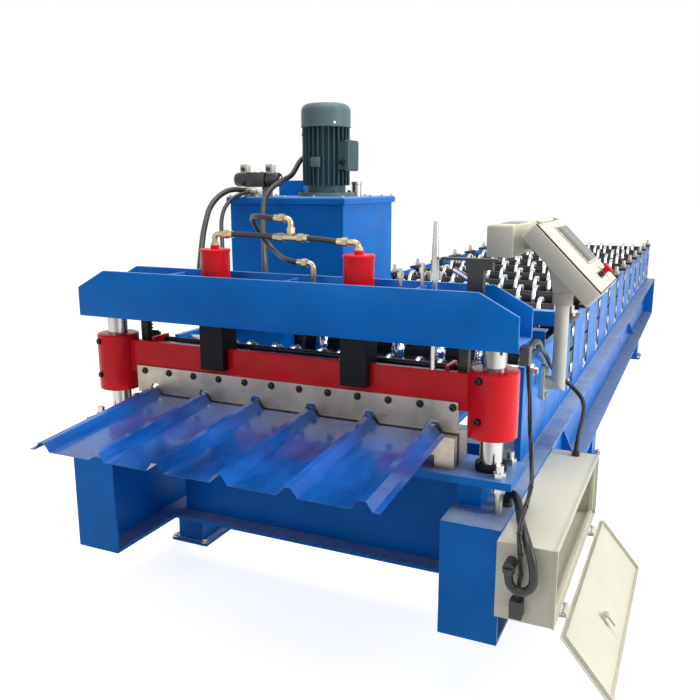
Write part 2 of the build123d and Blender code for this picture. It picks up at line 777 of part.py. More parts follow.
def outfeed_bar():
    """Ribbed rest in front of the blade, on two feet."""
    back = SHEAR_Y - BEAM_PLATE / 2 - BLADE_THICK - BLADE_CLEARANCE
    y = (back - OUTFEED_DEPTH, back)
    bar = ribbed_bar(y, BED_TOP + OUTFEED_LIFT)
    for side in (-1, 1):
        x = side * (DIE_HALF - DIE_FOOT / 2)
        bar += block((x - DIE_FOOT / 2, x + DIE_FOOT / 2), y, (BED_TOP, BED_TOP + OUTFEED_LIFT))
    return bar


def die_holder():
    """Welded block that backs the lower die."""
    front = DIE_FRONT + DIE_THICK
    return block((-DIE_HALF, DIE_HALF), (front, front + HOLDER_DEPTH),
                 (BED_TOP, BED_TOP + HOLDER_HEIGHT))


def guide_posts():
    """Ground posts between the bed plate and the top beam."""
    return [rod_z(POST_RADIUS, x, SHEAR_Y, (BED_TOP, TOP_Z)) for x in (-POST_X, POST_X)]


def top_beam():
    """Welded box beam: two plates with cut corners, floor, ribs and cylinder seats."""
    half = TOP_DEPTH / 2
    shoulder = TOP_Z + TOP_SHOULDER
    outline = [(-TOP_HALF, TOP_Z), (-TOP_HALF, shoulder), (-TOP_FLAT_HALF, TOP_TOP),
               (TOP_FLAT_HALF, TOP_TOP), (TOP_HALF, shoulder), (TOP_HALF, TOP_Z)]
    inner = (SHEAR_Y - half + TOP_PLATE, SHEAR_Y + half - TOP_PLATE)
    beam = plate_xz(outline, (SHEAR_Y - half, inner[0]))
    beam += plate_xz(outline, (inner[1], SHEAR_Y + half))
    beam += block((-TOP_HALF, TOP_HALF), inner, (TOP_Z, TOP_Z + TOP_FLOOR))
    for x in TOP_RIB_X:
        beam += block((x - TOP_PLATE / 2, x + TOP_PLATE / 2), inner, (TOP_Z, TOP_Z + TOP_RIB_HEIGHT))
    opening = RAM_HALF + RAM_CLEARANCE
    for x in (-RAM_X, RAM_X):
        seat_top = CYLINDER_Z[0]
        beam += block((x - CYLINDER_SEAT_HALF, x + CYLINDER_SEAT_HALF), inner,
                      (seat_top - CYLINDER_SEAT, seat_top))
        beam -= block((x - opening, x + opening), (SHEAR_Y - opening, SHEAR_Y + opening),
                      (TOP_Z - 1, TOP_Z + TOP_FLOOR + 1))
        beam -= rod_z(PISTON_RADIUS + RAM_CLEARANCE, x, SHEAR_Y,
                      (seat_top - CYLINDER_SEAT - 1, seat_top + 1))
    beam -= rod_z(STROKE_ROD_RADIUS + RAM_CLEARANCE, STROKE_ROD_X, SHEAR_Y,
                  (TOP_Z - 1, TOP_Z + TOP_FLOOR + 1))
    return beam


def sync_racks():
    """Toothed racks that hang from the top beam and keep the moving beam level."""
    slope = math.tan(math.radians(PRESSURE_ANGLE))
    half = (RACK_PITCH / 2 - TOOTH_PLAY) / 2
    root = (RACK_LINE - DEDENDUM, half + DEDENDUM * slope)
    tip = (RACK_LINE + ADDENDUM, half - ADDENDUM * slope)
    first = math.ceil((RACK_BOTTOM - SYNC_Z) / RACK_PITCH)
    last = math.floor((TOP_Z - SYNC_Z) / RACK_PITCH)
    outline = [(RACK_Y, RACK_BOTTOM), (root[0], RACK_BOTTOM)]
    for tooth in range(first, last):
        z = SYNC_Z + (tooth + 0.5) * RACK_PITCH
        outline += [(root[0], z - root[1]), (tip[0], z - tip[1]), (tip[0], z + tip[1]),
                    (root[0], z + root[1])]
    outline += [(root[0], TOP_Z), (RACK_Y, TOP_Z)]
    racks = []
    for x in (-RACK_X, RACK_X):
        side = [(x - RACK_WIDTH / 2, y, z) for y, z in outline]
        racks.append(extrude(make_face(Polyline(*side, close=True)), RACK_WIDTH, dir=(1, 0, 0)))
    return racks


def pinion(x):
    """Involute pinion that rolls on a rack, one tooth pointing at it."""
    pressure = math.radians(PRESSURE_ANGLE)
    base = PINION_PITCH * math.cos(pressure)
    involute = math.tan(pressure) - pressure

    def half_tooth(radius):
        local = math.acos(base / radius)
        return (RACK_PITCH / 2 - TOOTH_PLAY) / (2 * PINION_PITCH) + involute - math.tan(local) + local

    flank = [(PINION_PITCH - DEDENDUM, half_tooth(base))]
    flank += [(r, half_tooth(r)) for r in (base, PINION_PITCH, PINION_PITCH + ADDENDUM)]
    tooth = [(r, -angle) for r, angle in flank] + [(r, angle) for r, angle in reversed(flank)]
    points = []
    for i in range(PINION_TEETH):
        middle = math.pi + 2 * math.pi * i / PINION_TEETH
        points += [(x - RACK_WIDTH / 2, SYNC_Y + r * math.cos(middle + angle),
                    SYNC_Z + r * math.sin(middle + angle)) for r, angle in tooth]
    return extrude(make_face(Polyline(*points, close=True)), RACK_WIDTH, dir=(1, 0, 0))


def cylinders():
    """Ram cylinders on their seats, with a lip under the rounded cap, bored for the rods."""
    bodies = []
    top = CYLINDER_Z[1]
    for x in (-RAM_X, RAM_X):
        body = rod_z(CYLINDER_RADIUS, x, SHEAR_Y, CYLINDER_Z)
        body += rod_z(CYLINDER_RADIUS + CYLINDER_LIP, x, SHEAR_Y, (top - CYLINDER_LIP_HEIGHT, top))
        body = fillet(body.edges().group_by(Axis.Z)[-1], CYLINDER_ROUND)
        body += rod_z(PORT_RADIUS, x, SHEAR_Y, (top, PORT_TOP))
        body -= rod_z(PISTON_RADIUS + POST_CLEARANCE, x, SHEAR_Y,
                      (CYLINDER_Z[0] - 1, PISTON_TOP + STROKE_UP + RAM_CLEARANCE))
        bodies.append(body)
    return bodies


def moving_beam():
    """Thick plate with a guide sleeve welded to each end and the shaft brackets."""
    front, back = SHEAR_Y - BEAM_PLATE / 2, SHEAR_Y + BEAM_PLATE / 2
    beam = block((-BEAM_PLATE_HALF, BEAM_PLATE_HALF), (front, back), BEAM_PLATE_Z)
    for x in (-POST_X, POST_X):
        beam += rod_z(SLEEVE_RADIUS, x, SHEAR_Y, SLEEVE_Z)
        beam -= rod_z(POST_RADIUS + POST_CLEARANCE, x, SHEAR_Y, (SLEEVE_Z[0] - 1, SLEEVE_Z[1] + 1))
    for side in (-1, 1):
        x = side * SYNC_BRACKET_X
        beam += block((x - SYNC_BRACKET / 2, x + SYNC_BRACKET / 2), (back, SYNC_Y + SYNC_BOSS),
                      (SYNC_Z - SYNC_BOSS, SYNC_Z + SYNC_BOSS))
        beam -= rod_x(SYNC_RADIUS + POST_CLEARANCE, (x - SYNC_BRACKET, x + SYNC_BRACKET),
                      SYNC_Y, SYNC_Z)
    return beam


def sync_shaft():
    """Shaft behind the moving beam with a pinion on each rack."""
    reach = RACK_X + RACK_WIDTH / 2 + 1
    return rod_x(SYNC_RADIUS, (-reach, reach), SYNC_Y, SYNC_Z) + pinion(-RACK_X) + pinion(RACK_X)


def shear_blade():
    """Blade on the moving beam, notched for the ribs."""
    back = SHEAR_Y - BEAM_PLATE / 2
    low = rib_profile(BLADE_HALF, BLADE_Z[0], BLADE_NOTCH_RISE, BLADE_NOTCH_SPREAD)
    outline = [(-BLADE_HALF, BLADE_Z[1])] + low + [(BLADE_HALF, BLADE_Z[1])]
    return plate_xz(outline, (back - BLADE_THICK, back))


def rams():
    """Forked ram heads over the moving beam, with their piston rods."""
    heads = []
    slot = BEAM_PLATE / 2 + SEAT_GAP
    for x in (-RAM_X, RAM_X):
        head = block((x - RAM_HALF, x + RAM_HALF), (SHEAR_Y - RAM_HALF, SHEAR_Y + RAM_HALF), RAM_Z)
        head -= block((x - RAM_HALF - 1, x + RAM_HALF + 1), (SHEAR_Y - slot, SHEAR_Y + slot),
                      (RAM_Z[0] - 1, BEAM_PLATE_Z[1]))
        head += rod_z(PISTON_RADIUS, x, SHEAR_Y, (RAM_Z[1], PISTON_TOP))
        heads.append(head)
    return heads


def stroke_rod():
    """Rod on the moving beam whose collar works the limit switches."""
    base = BEAM_PLATE_Z[1]
    rod = rod_z(STROKE_ROD_RADIUS, STROKE_ROD_X, SHEAR_Y, (base, STROKE_COLLAR_Z))
    rod += rod_z(STROKE_COLLAR_RADIUS, STROKE_ROD_X, SHEAR_Y,
                 (STROKE_COLLAR_Z, STROKE_COLLAR_Z + STROKE_COLLAR_HEIGHT))
    low = STROKE_COLLAR_Z + STROKE_COLLAR_HEIGHT
    taper = Cone(STROKE_SLEEVE_RADIUS, STROKE_TIP_RADIUS, STROKE_ROD_TOP - low)
    return rod + Pos(STROKE_ROD_X, SHEAR_Y, (low + STROKE_ROD_TOP) / 2) * taper


def tank_frame():
    """Two channels from wall to wall under the hydraulic tank."""
    channels = []
    reach = WALL_OUTER_X
    for y in (TANK_Y[0], TANK_Y[1] - CHANNEL_WIDTH):
        bar = block((-reach, reach), (y, y + CHANNEL_WIDTH), (WALL_TOP, TANK_Z[0]))
        bar -= block((-reach - 1, reach + 1), (y + CHANNEL_WALL, y + CHANNEL_WIDTH + 1),
                     (WALL_TOP + CHANNEL_WALL, TANK_Z[0] - CHANNEL_WALL))
        channels.append(bar)
    return channels


def hydraulic_tank():
    """Oil tank of sheet steel, open under its lid."""
    tank = block(TANK_X, TANK_Y, TANK_Z)
    inner_x = (TANK_X[0] + TANK_WALL, TANK_X[1] - TANK_WALL)
    inner_y = (TANK_Y[0] + TANK_WALL, TANK_Y[1] - TANK_WALL)
    return tank - block(inner_x, inner_y, (TANK_Z[0] + TANK_WALL, TANK_Z[1] + 1))


def tank_lid():
    """Lid with a rounded edge whose lip hangs over the tank all round."""
    low = TANK_Z[1] - LID_LIP
    lid = block((TANK_X[0] - LID_REACH, TANK_X[1] + LID_REACH),
                (TANK_Y[0] - LID_REACH, TANK_Y[1] + LID_REACH), (low, LID_TOP))
    lid = fillet(lid.edges().group_by(Axis.Z)[-1], LID_ROUND)
    return lid - block((TANK_X[0] - SEAT_GAP, TANK_X[1] + SEAT_GAP),
                       (TANK_Y[0] - SEAT_GAP, TANK_Y[1] + SEAT_GAP), (low - 1, TANK_Z[1]))


def lid_fittings():
    """Filter block and filler cap on the lid."""
    return [block(FILTER_X, FILTER_Y, (LID_TOP, LID_TOP + FILTER_HEIGHT)),
            rod_z(FILLER_RADIUS, *FILLER_AT, (LID_TOP, LID_TOP + FILLER_HEIGHT))]


def pump_motor():
    """Upright motor: bolted flange, finned body, domed fan cowl and terminal box."""
    x, y = PUMP_MOTOR_AT
    body_top = LID_TOP + PUMP_MOTOR_HEIGHT - PUMP_COWL
    flange_top = LID_TOP + PUMP_FLANGE
    motor = rod_z(PUMP_FLANGE_RADIUS, x, y, (LID_TOP, flange_top))
    motor += rod_z(PUMP_CORE_RADIUS, x, y, (flange_top, body_top))
    fin_reach = PUMP_MOTOR_RADIUS - PUMP_COWL_LIP
    fin = block((PUMP_CORE_RADIUS - 1, fin_reach), (-PUMP_FIN / 2, PUMP_FIN / 2),
                (flange_top + PUMP_FIN_START, body_top))
    motor += [Pos(x, y, 0) * Rot(0, 0, 360 / PUMP_FINS * (i + 0.5)) * fin for i in range(PUMP_FINS)]
    cowl = rod_z(PUMP_MOTOR_RADIUS, x, y, (body_top, LID_TOP + PUMP_MOTOR_HEIGHT))
    motor += fillet(cowl.edges().group_by(Axis.Z)[-1], PUMP_DOME)
    box_z = (LID_TOP + PUMP_BOX_Z[0], LID_TOP + PUMP_BOX_Z[1])
    motor += block((x + PUMP_CORE_RADIUS - 1, x + PUMP_BOX_REACH),
                   (y - PUMP_BOX / 2, y + PUMP_BOX / 2), box_z)
    motor += block((x + PUMP_BOX_REACH - 2 * PUMP_BOX_LID, x + PUMP_BOX_REACH - PUMP_BOX_LID),
                   (y - PUMP_BOX / 2 - PUMP_BOX_LID, y + PUMP_BOX / 2 + PUMP_BOX_LID),
                   (box_z[0] - PUMP_BOX_LID, box_z[1] + PUMP_BOX_LID))
    for corner in range(4):
        angle = math.radians(45 + 90 * corner)
        motor += hex_z(PUMP_BOLT, x + PUMP_BOLT_CIRCLE * math.cos(angle),
                       y + PUMP_BOLT_CIRCLE * math.sin(angle), (flange_top, flange_top + PUMP_BOLT_HEIGHT))
    return motor


def valve_stack():
    """Manifold block with the double solenoid valve and its two plugs on top."""
    x, y = VALVE_AT
    half = MANIFOLD / 2
    z = LID_TOP + MANIFOLD_HEIGHT
    stack = block((x - half, x + half), (y - half, y + half), (LID_TOP, z))
    stack += block((x - half, x + half), (y - VALVE_RADIUS, y + VALVE_RADIUS),
                   (z, z + 2 * VALVE_RADIUS))
    coils = rod_x(VALVE_RADIUS, (x - VALVE_HALF, x + VALVE_HALF), y, z + VALVE_RADIUS)
    stack += fillet(coils.edges().filter_by(GeomType.CIRCLE), VALVE_ROUND)
    for side in (-1, 1):
        plug = x + side * VALVE_PLUG_X
        stack += block((plug - VALVE_PLUG / 2, plug + VALVE_PLUG / 2),
                       (y - VALVE_PLUG / 2, y + VALVE_PLUG / 2),
                       (z + VALVE_RADIUS, z + 2 * VALVE_RADIUS + VALVE_PLUG))
    return stack


def console_pole():
    """Rounded wall flange with two bolts, mitred pipe and the pin under the console."""
    x, y = POLE_AT
    face = WALL_OUTER_X + POLE_FLANGE
    plane = Plane(origin=(WALL_OUTER_X, y, POLE_BOTTOM), x_dir=(0, 0, 1), z_dir=(1, 0, 0))
    pole = extrude(plane * SlotOverall(2 * POLE_FLANGE_HALF, POLE_FLANGE_WIDTH), POLE_FLANGE)
    for z in (POLE_BOTTOM - POLE_BOLT, POLE_BOTTOM + POLE_BOLT):
        pole += hex_x(POLE_BOLT_RADIUS, (face, face + POLE_BOLT_HEIGHT), y, z)
    path = Polyline((WALL_OUTER_X, y, POLE_BOTTOM), (x, y, POLE_BOTTOM), (x, y, POLE_TOP))
    section = Plane(origin=path @ 0, z_dir=(1, 0, 0)) * Circle(POLE_RADIUS)
    pole += sweep(section, path, transition=Transition.RIGHT)
    return pole + rod_z(POLE_PIN_RADIUS, x, y, (POLE_TOP, POLE_TOP + POLE_PIN_HEIGHT))


def console_box():
    """Slanted control box on its collar, with controls on the lid and the rear housing."""
    face = CONSOLE_FACE
    tilted = Pos(*face) * Rot(0, CONSOLE_TILT, 0)
    panel = Pos(0, 0, -CONSOLE_THICK / 2) * Box(CONSOLE_LENGTH, CONSOLE_WIDTH, CONSOLE_THICK)
    panel = fillet(panel.edges().filter_by(Axis.Z), CONSOLE_ROUND)
    panel += Pos(0, 0, CONSOLE_LID / 2) * Box(CONSOLE_LENGTH - 2 * CONSOLE_LID_INSET,
                                              CONSOLE_WIDTH - 2 * CONSOLE_LID_INSET, CONSOLE_LID)
    panel += Pos(*SCREEN_AT, SCREEN_HEIGHT / 2) * Box(*SCREEN_SIZE, SCREEN_HEIGHT)
    for button in BUTTONS_AT:
        panel += Pos(*button, BUTTON_HEIGHT / 2) * Cylinder(BUTTON_RADIUS, BUTTON_HEIGHT)
    panel += Pos(*STOP_AT, STOP_HEIGHT / 2) * Cylinder(STOP_STEM, STOP_HEIGHT)
    panel += Pos(*STOP_AT, STOP_HEIGHT) * Cylinder(STOP_RADIUS, STOP_CAP)
    x, y = POLE_AT
    underside = face[0] + face[2] - CONSOLE_THICK * math.sqrt(2)
    neck = [(x + NECK_X[0], COLLAR_Z[1]), (x + NECK_X[1], COLLAR_Z[1]),
            (NECK_TOP_X[1], underside - NECK_TOP_X[1]), (NECK_TOP_X[0], underside - NECK_TOP_X[0])]
    box = tilted * panel + plate_xz(neck, (y - NECK_HALF, y + NECK_HALF))
    box += rod_z(COLLAR_RADIUS, x, y, COLLAR_Z)
    arm = block((REAR_BOX_X[1], face[0]), (y - NECK_HALF, y + NECK_HALF), REAR_ARM_Z)
    below = Pos(0, 0, -CONSOLE_THICK - CONSOLE_LENGTH) * Box(
        4 * CONSOLE_LENGTH, 4 * CONSOLE_WIDTH, 2 * CONSOLE_LENGTH)
    box += arm & (tilted * below)
    box += block(REAR_BOX_X, (face[1] - CONSOLE_WIDTH / 2, face[1] + CONSOLE_WIDTH / 2), REAR_BOX_Z)
    box -= rod_z(POLE_RADIUS + POST_CLEARANCE, x, y, (COLLAR_Z[0] - 1, POLE_TOP + SEAT_GAP))
    return box - rod_z(POLE_PIN_RADIUS + POST_CLEARANCE, x, y,
                       (POLE_TOP, POLE_TOP + POLE_PIN_HEIGHT + BLADE_CLEARANCE))


def cabinet_shell():
    """Switch cabinet along the right beam, open on its outer side, with its cable glands."""
    (x0, x1), (y0, y1), (z0, z1) = CABINET_X, CABINET_Y, CABINET_Z
    width, lift = RAIN_LIP
    shell = block(CABINET_X, CABINET_Y, CABINET_Z)
    shell += block((x1 - width, x1), (y0 - lift, y1 + lift), (z0, z1 + lift))
    shell -= block((x0 + CABINET_WALL, x1 + 1), (y0 + CABINET_WALL, y1 - CABINET_WALL),
                   (z0 + CABINET_WALL, z1 - CABINET_WALL))
    px, pz = DOOR_PIVOT
    for y in DOOR_HINGE_Y:
        for ear in (y - HINGE_HALF, y + HINGE_HALF):
            width_y = (ear - HINGE_EAR / 4, ear + HINGE_EAR / 4)
            shell += block((x1 - HINGE_EAR, x1), width_y, (pz - HINGE_PIN, z0))
            shell += block((x1, px + HINGE_PIN), width_y, (pz - HINGE_PIN, pz + HINGE_PIN))
        shell += rod_y(HINGE_PIN, px, (y - HINGE_HALF, y + HINGE_HALF), pz)
    shell += rod_y(GLAND_RADIUS, GLAND_X, (y0 - GLAND_REACH - GLAND_RADIUS / 2, y0), GLAND_Z)
    shell += rod_z(GLAND_RADIUS, GLAND_X, y0 - GLAND_REACH, (GLAND_Z - GLAND_DROP, GLAND_Z))
    shell += block(LOW_GLAND_X, (y0 - LOW_GLAND_REACH, y0), LOW_GLAND_Z)
    return shell + rod_z(TOP_GLAND_RADIUS, *TOP_GLAND_AT, (z1, z1 + TOP_GLAND_HEIGHT))


def cabinet_door():
    """Tray-shaped door with a lock, hanging open from the cabinet's lower outer edge."""
    px, pz = DOOR_PIVOT
    inside = CABINET_X[1] + DOOR_GAP
    sheet = (inside, inside + DOOR_THICK)
    low, high = pz + DOOR_EDGE, CABINET_Z[1]
    door = block(sheet, CABINET_Y, (low, high))
    gap = CABINET_WALL + DOOR_RIM_INSET
    rim_y = (CABINET_Y[0] + gap, CABINET_Y[1] - gap)
    rim_z = (CABINET_Z[0] + gap, high - gap)
    rim = block((inside - DOOR_RIM, inside), rim_y, rim_z)
    rim -= block((inside - DOOR_RIM, inside), (rim_y[0] + DOOR_THICK, rim_y[1] - DOOR_THICK),
                 (rim_z[0] + DOOR_THICK, rim_z[1] - DOOR_THICK))
    door += rim
    half = HINGE_HALF - HINGE_EAR / 4 - 2
    for y in DOOR_HINGE_Y:
        door += rod_y(HINGE_KNUCKLE, px, (y - half, y + half), pz)
        door += block(sheet, (y - half, y + half), (pz, low))
        door -= rod_y(HINGE_PIN + POST_CLEARANCE, px, (y - 2 * half, y + 2 * half), pz)
    lock_y, lock_z = LOCK_AT
    thick, cam_half, cam_reach = LOCK_CAM
    door += rod_x(LOCK_RADIUS, (inside - LOCK_IN, inside + DOOR_THICK + LOCK_OUT), lock_y, lock_z)
    door += block((inside - LOCK_IN, inside - LOCK_IN + thick), (lock_y - cam_half, lock_y + cam_half),
                  (lock_z, lock_z + cam_reach))
    return Pos(px, 0, pz) * Rot(0, DOOR_OPEN, 0) * Pos(-px, 0, -pz) * door


def roofing_sheet():
    """Ribbed sheet: one length in front of the blade, the next one behind it."""
    low = rib_profile(SHEET_HALF, PASS_LINE)
    outline = low + [(x, z + SHEET_THICK) for x, z in reversed(low)]

    def face_at(y):
        return make_face(Polyline(*[(x, y, z) for x, z in outline], close=True))

    back = SHEAR_Y - BEAM_PLATE / 2 - BLADE_THICK - BLADE_CLEARANCE
    bend = back - OUTFEED_DEPTH
    flat = extrude(face_at(back), back - bend, dir=(0, -1, 0))
    run = bend - SHEET_FRONT
    droop = extrude(face_at(bend), math.hypot(run, SHEET_DROOP), dir=(0, -run, -SHEET_DROOP))
    rear = extrude(face_at(DIE_FRONT), SHEET_BACK - DIE_FRONT, dir=(0, 1, 0))
    return [flat + droop, rear]


def limit_switch():
    """Switch stand on the floor of the top beam, its sensor aimed at the stroke rod's collar."""
    x, y = SWITCH_X, SWITCH_Y
    depth = (y - SWITCH_DEPTH, y + SWITCH_DEPTH)
    stand = block((x - SWITCH_POST, x + SWITCH_POST), depth, (TOP_Z + TOP_FLOOR, SWITCH_POST_TOP))
    stand += block((x - SWITCH_BOX[0], x + SWITCH_BOX[1]), depth, (SWITCH_POST_TOP, SWITCH_BOX_TOP))
    stand += block((x - SWITCH_PLATE[0], x + SWITCH_PLATE[1]), depth,
                   (SWITCH_BOX_TOP, SWITCH_BOX_TOP + SWITCH_PLATE_THICK))
    sensor = Rot(0, -90 + SENSOR_TILT, 0) * Pos(0, 0, SENSOR_LENGTH / 2) * Cylinder(
        SENSOR_RADIUS, SENSOR_LENGTH)
    return stand + Pos(x - SWITCH_POST + SENSOR_RADIUS, y, SENSOR_Z) * sensor


def stop_studs():
    """Two studs with nuts on the floor of the top beam."""
    floor = TOP_Z + TOP_FLOOR
    return [rod_z(STOP_STUD_RADIUS, x, SWITCH_Y, (floor, top))
            + hex_z(STOP_NUT_RADIUS, x, SWITCH_Y, (top - 2 * STOP_NUT_HEIGHT, top - STOP_NUT_HEIGHT))
            for x, top in STOP_STUDS]


def cable_fittings():
    """Junction box and clip at the right end of the top beam, and a gland on the long beam."""
    rear = SHEAR_Y + TOP_DEPTH / 2
    return [block((TOP_HALF, TOP_HALF + JUNCTION_DEPTH), JUNCTION_Y, JUNCTION_Z),
            block(CLIP_X, (rear, rear + CLIP_DEPTH), (TOP_Z, TOP_Z + CLIP_HEIGHT)),
            rod_z(FLOOR_GLAND_RADIUS, *FLOOR_GLAND_AT, (BEAM_TOP, BEAM_TOP + FLOOR_GLAND_HEIGHT))]


def elbow(radius, *points):
    """Pipe with one rounded bend."""
    path = FilletPolyline(*points, radius=ELBOW_RADIUS)
    return sweep(Plane(origin=path @ 0, z_dir=path % 0) * Circle(radius), path)


def hose_end(x, z, side, y=LINE_Y):
    """Nut and crimped ferrule of a hose end along X."""
    nut = sorted((x, x + side * FITTING_NUT_LENGTH))
    ferrule = sorted((nut[0] if side < 0 else nut[1], x + side * (FITTING_NUT_LENGTH + FERRULE_LENGTH)))
    return hex_x(FITTING_NUT, nut, y, z) + rod_x(FERRULE_RADIUS, ferrule, y, z)


def line_fittings():
    """Elbows on the two cylinders, the tee between them and the branch's two elbows."""
    y = LINE_Y
    fittings = []
    for x, z, side in ((-RAM_X, LEFT_LINE_Z, 1), (RAM_X, RIGHT_LINE_Z, -1)):
        end = x + side * LINE_REACH
        fitting = elbow(FITTING_RADIUS, (x, y, PORT_TOP), (x, y, z), (end, y, z))
        fitting += hex_z(FITTING_NUT, x, y, (PORT_TOP, PORT_TOP + FITTING_NUT_LENGTH / 2))
        fittings.append(fitting + hose_end(end, z, side))
    tee = rod_x(FITTING_NUT - 3, (TEE_X - TEE_HALF, TEE_X + TEE_HALF), y, TEE_Z)
    tee += hose_end(TEE_X - TEE_HALF, TEE_Z, -1) + hose_end(TEE_X + TEE_HALF, TEE_Z, 1)
    tee += elbow(FITTING_RADIUS, (TEE_X, y, TEE_Z), (TEE_X, y, BRANCH_Z),
                 (TEE_X - BRANCH_REACH, y, BRANCH_Z))
    tee += hex_z(FITTING_NUT, TEE_X, y, (TEE_Z + FITTING_NUT, TEE_Z + FITTING_NUT + FITTING_NUT_LENGTH))
    fittings.append(tee + hose_end(TEE_X - BRANCH_REACH, BRANCH_Z, -1))
    x, y = DROP_AT
    floor = TOP_Z + TOP_FLOOR
    drop = elbow(FITTING_RADIUS, (x - DROP_REACH + FITTING_NUT_LENGTH, y, DROP_Z), (x, y, DROP_Z),
                 (x, y, floor))
    drop += hex_z(FITTING_NUT, x, y, (floor, floor + FITTING_NUT_LENGTH))
    fittings.append(drop + hose_end(x - DROP_REACH + FITTING_NUT_LENGTH, DROP_Z, -1, y))
    return fittings


def port_fittings():
    """Ports of the thick hoses on the top beam's rear plate, the lid and the manifold."""
    rear = SHEAR_Y + TOP_DEPTH / 2
    ports = []
    for x, top in REAR_PORTS:
        ports.append(elbow(PORT_PIPE_RADIUS, (x, rear, PORT_PIPE_Z), (x, rear + PORT_PIPE_OUT, PORT_PIPE_Z),
                           (x, rear + PORT_PIPE_OUT, top)))
    ports.append(rod_z(PORT_PIPE_RADIUS + 1, *LID_PORT_AT, (LID_TOP, LID_TOP + LID_PORT_HEIGHT)))
    front = VALVE_AT[1] - MANIFOLD / 2
    for x, z in VALVE_PORTS:
        ports.append(rod_y(PORT_PIPE_RADIUS, x, (front - VALVE_PORT_REACH, front), z))
    return ports


def cord(name, diameter, points):
    """Hose or cable of straight runs with arcs as large as the runs allow."""
    route = [Vector(*point) for point in points]
    runs = [after - before for before, after in zip(route, route[1:])]
    radii = []
    for run, following in zip(runs, runs[1:]):
        turn = math.radians(run.get_angle(following))
        radii.append(0.45 * min(run.length, following.length) / math.tan(turn / 2))
    path = FilletPolyline(*points, radius=radii)
    tube = sweep(Plane(origin=path @ 0, z_dir=path % 0) * Circle(diameter / 2), path)
    ratio = tube.volume / (math.pi * diameter ** 2 / 4 * path.length)
    longest = max(run.length for run in runs)
    print(f"{name}: length {path.length:.0f}, longest run {longest:.0f}, volume ratio {ratio:.3f}, "
          f"radii {[round(radius) for radius in radii]}")
    return tube


def cylinder_hoses():
    """Hoses along the tops of the cylinders, and the branch that loops back and down."""
    left = -RAM_X + LINE_REACH + FITTING_NUT_LENGTH + FERRULE_LENGTH - BITE
    right = RAM_X - LINE_REACH - FITTING_NUT_LENGTH - FERRULE_LENGTH + BITE
    tee = TEE_HALF + FITTING_NUT_LENGTH + FERRULE_LENGTH - BITE
    branch = TEE_X - BRANCH_REACH - FITTING_NUT_LENGTH - FERRULE_LENGTH + BITE
    drop = DROP_AT[0] - DROP_REACH - FERRULE_LENGTH + BITE
    y = LINE_Y
    return [
        cord("left hose", SMALL_HOSE, [(left, y, LEFT_LINE_Z), (-115, y - 2, 1333),
                                       (TEE_X - tee, y, TEE_Z)]),
        cord("right hose", SMALL_HOSE, [(TEE_X + tee, y, TEE_Z), (138, y - 1, 1324),
                                        (right, y, RIGHT_LINE_Z)]),
        cord("branch hose", SMALL_HOSE, [
            (branch, y, BRANCH_Z), (-78, 18, 1388), (-128, 46, 1389), (-166, 96, 1378),
            (-184, 148, 1352), (-180, 186, 1312), (-148, 190, 1276), (-106, 160, 1258),
            (-64, 116, 1252), (-22, 76, 1247), (drop, DROP_AT[1], DROP_Z)]),
    ]


def tank_hoses():
    """Thick hoses from the valve and the tank to the rear of the top beam."""
    (ax, az), (bx, bz) = VALVE_PORTS
    start = VALVE_AT[1] - MANIFOLD / 2 - VALVE_PORT_REACH + BITE
    end = SHEAR_Y + TOP_DEPTH / 2 + PORT_PIPE_OUT
    (a_end, a_top), (b_end, b_top), (c_end, c_top) = REAR_PORTS
    cx, cy = LID_PORT_AT
    a, b, c = TANK_HOSES
    return [
        cord("valve hose", a, [
            (ax, start, az), (-598, 662, 1472), (-616, 590, 1450), (-612, 505, 1402),
            (-575, 425, 1356), (-531, 340, 1314), (-485, 262, 1272), (-449, 198, 1222),
            (-429, 160, 1172), (-421, 145, 1126), (a_end, end, a_top - BITE)]),
        cord("second valve hose", b, [
            (bx, start, bz), (-567, 660, 1450), (-574, 600, 1428), (-562, 530, 1394),
            (-520, 445, 1350), (-470, 370, 1310), (-418, 296, 1264), (-378, 228, 1208),
            (-356, 176, 1158), (-347, 150, 1118), (b_end, end, b_top - BITE)]),
        cord("return hose", c, [
            (cx, cy, LID_TOP + LID_PORT_HEIGHT - BITE), (-397, 1133, 1532), (-406, 1106, 1600),
            (-425, 1042, 1628), (-446, 968, 1595), (-432, 893, 1549), (-413, 820, 1522),
            (-410, 745, 1506), (-421, 675, 1478), (-412, 600, 1438), (-372, 520, 1395),
            (-322, 435, 1352), (-268, 342, 1308), (-215, 255, 1262), (-178, 196, 1212),
            (-155, 160, 1160), (c_end, end, c_top - BITE)]),
    ]


def console_cable():
    """Cable from the top beam's junction box, behind the pole, to the top of the cabinet."""
    x = TOP_HALF + JUNCTION_DEPTH / 2
    gland_x, gland_y = TOP_GLAND_AT
    return cord("console cable", CONSOLE_CABLE, [
        (x, JUNCTION_Y[1] - BITE, 1030), (784, 42, 1042), (782, 112, 1040), (775, 190, 1024),
        (763, 285, 992), (748, 385, 960), (735, 485, 934), (724, 590, 902), (716, 690, 864),
        (717, 748, 826), (737, 794, 784), (784, 810, 744), (830, 790, 710), (851, 738, 684),
        (857, 668, 664), (857, 608, 638), (854, 578, 602),
        (gland_x, gland_y, CABINET_Z[1] + TOP_GLAND_HEIGHT - BITE)])


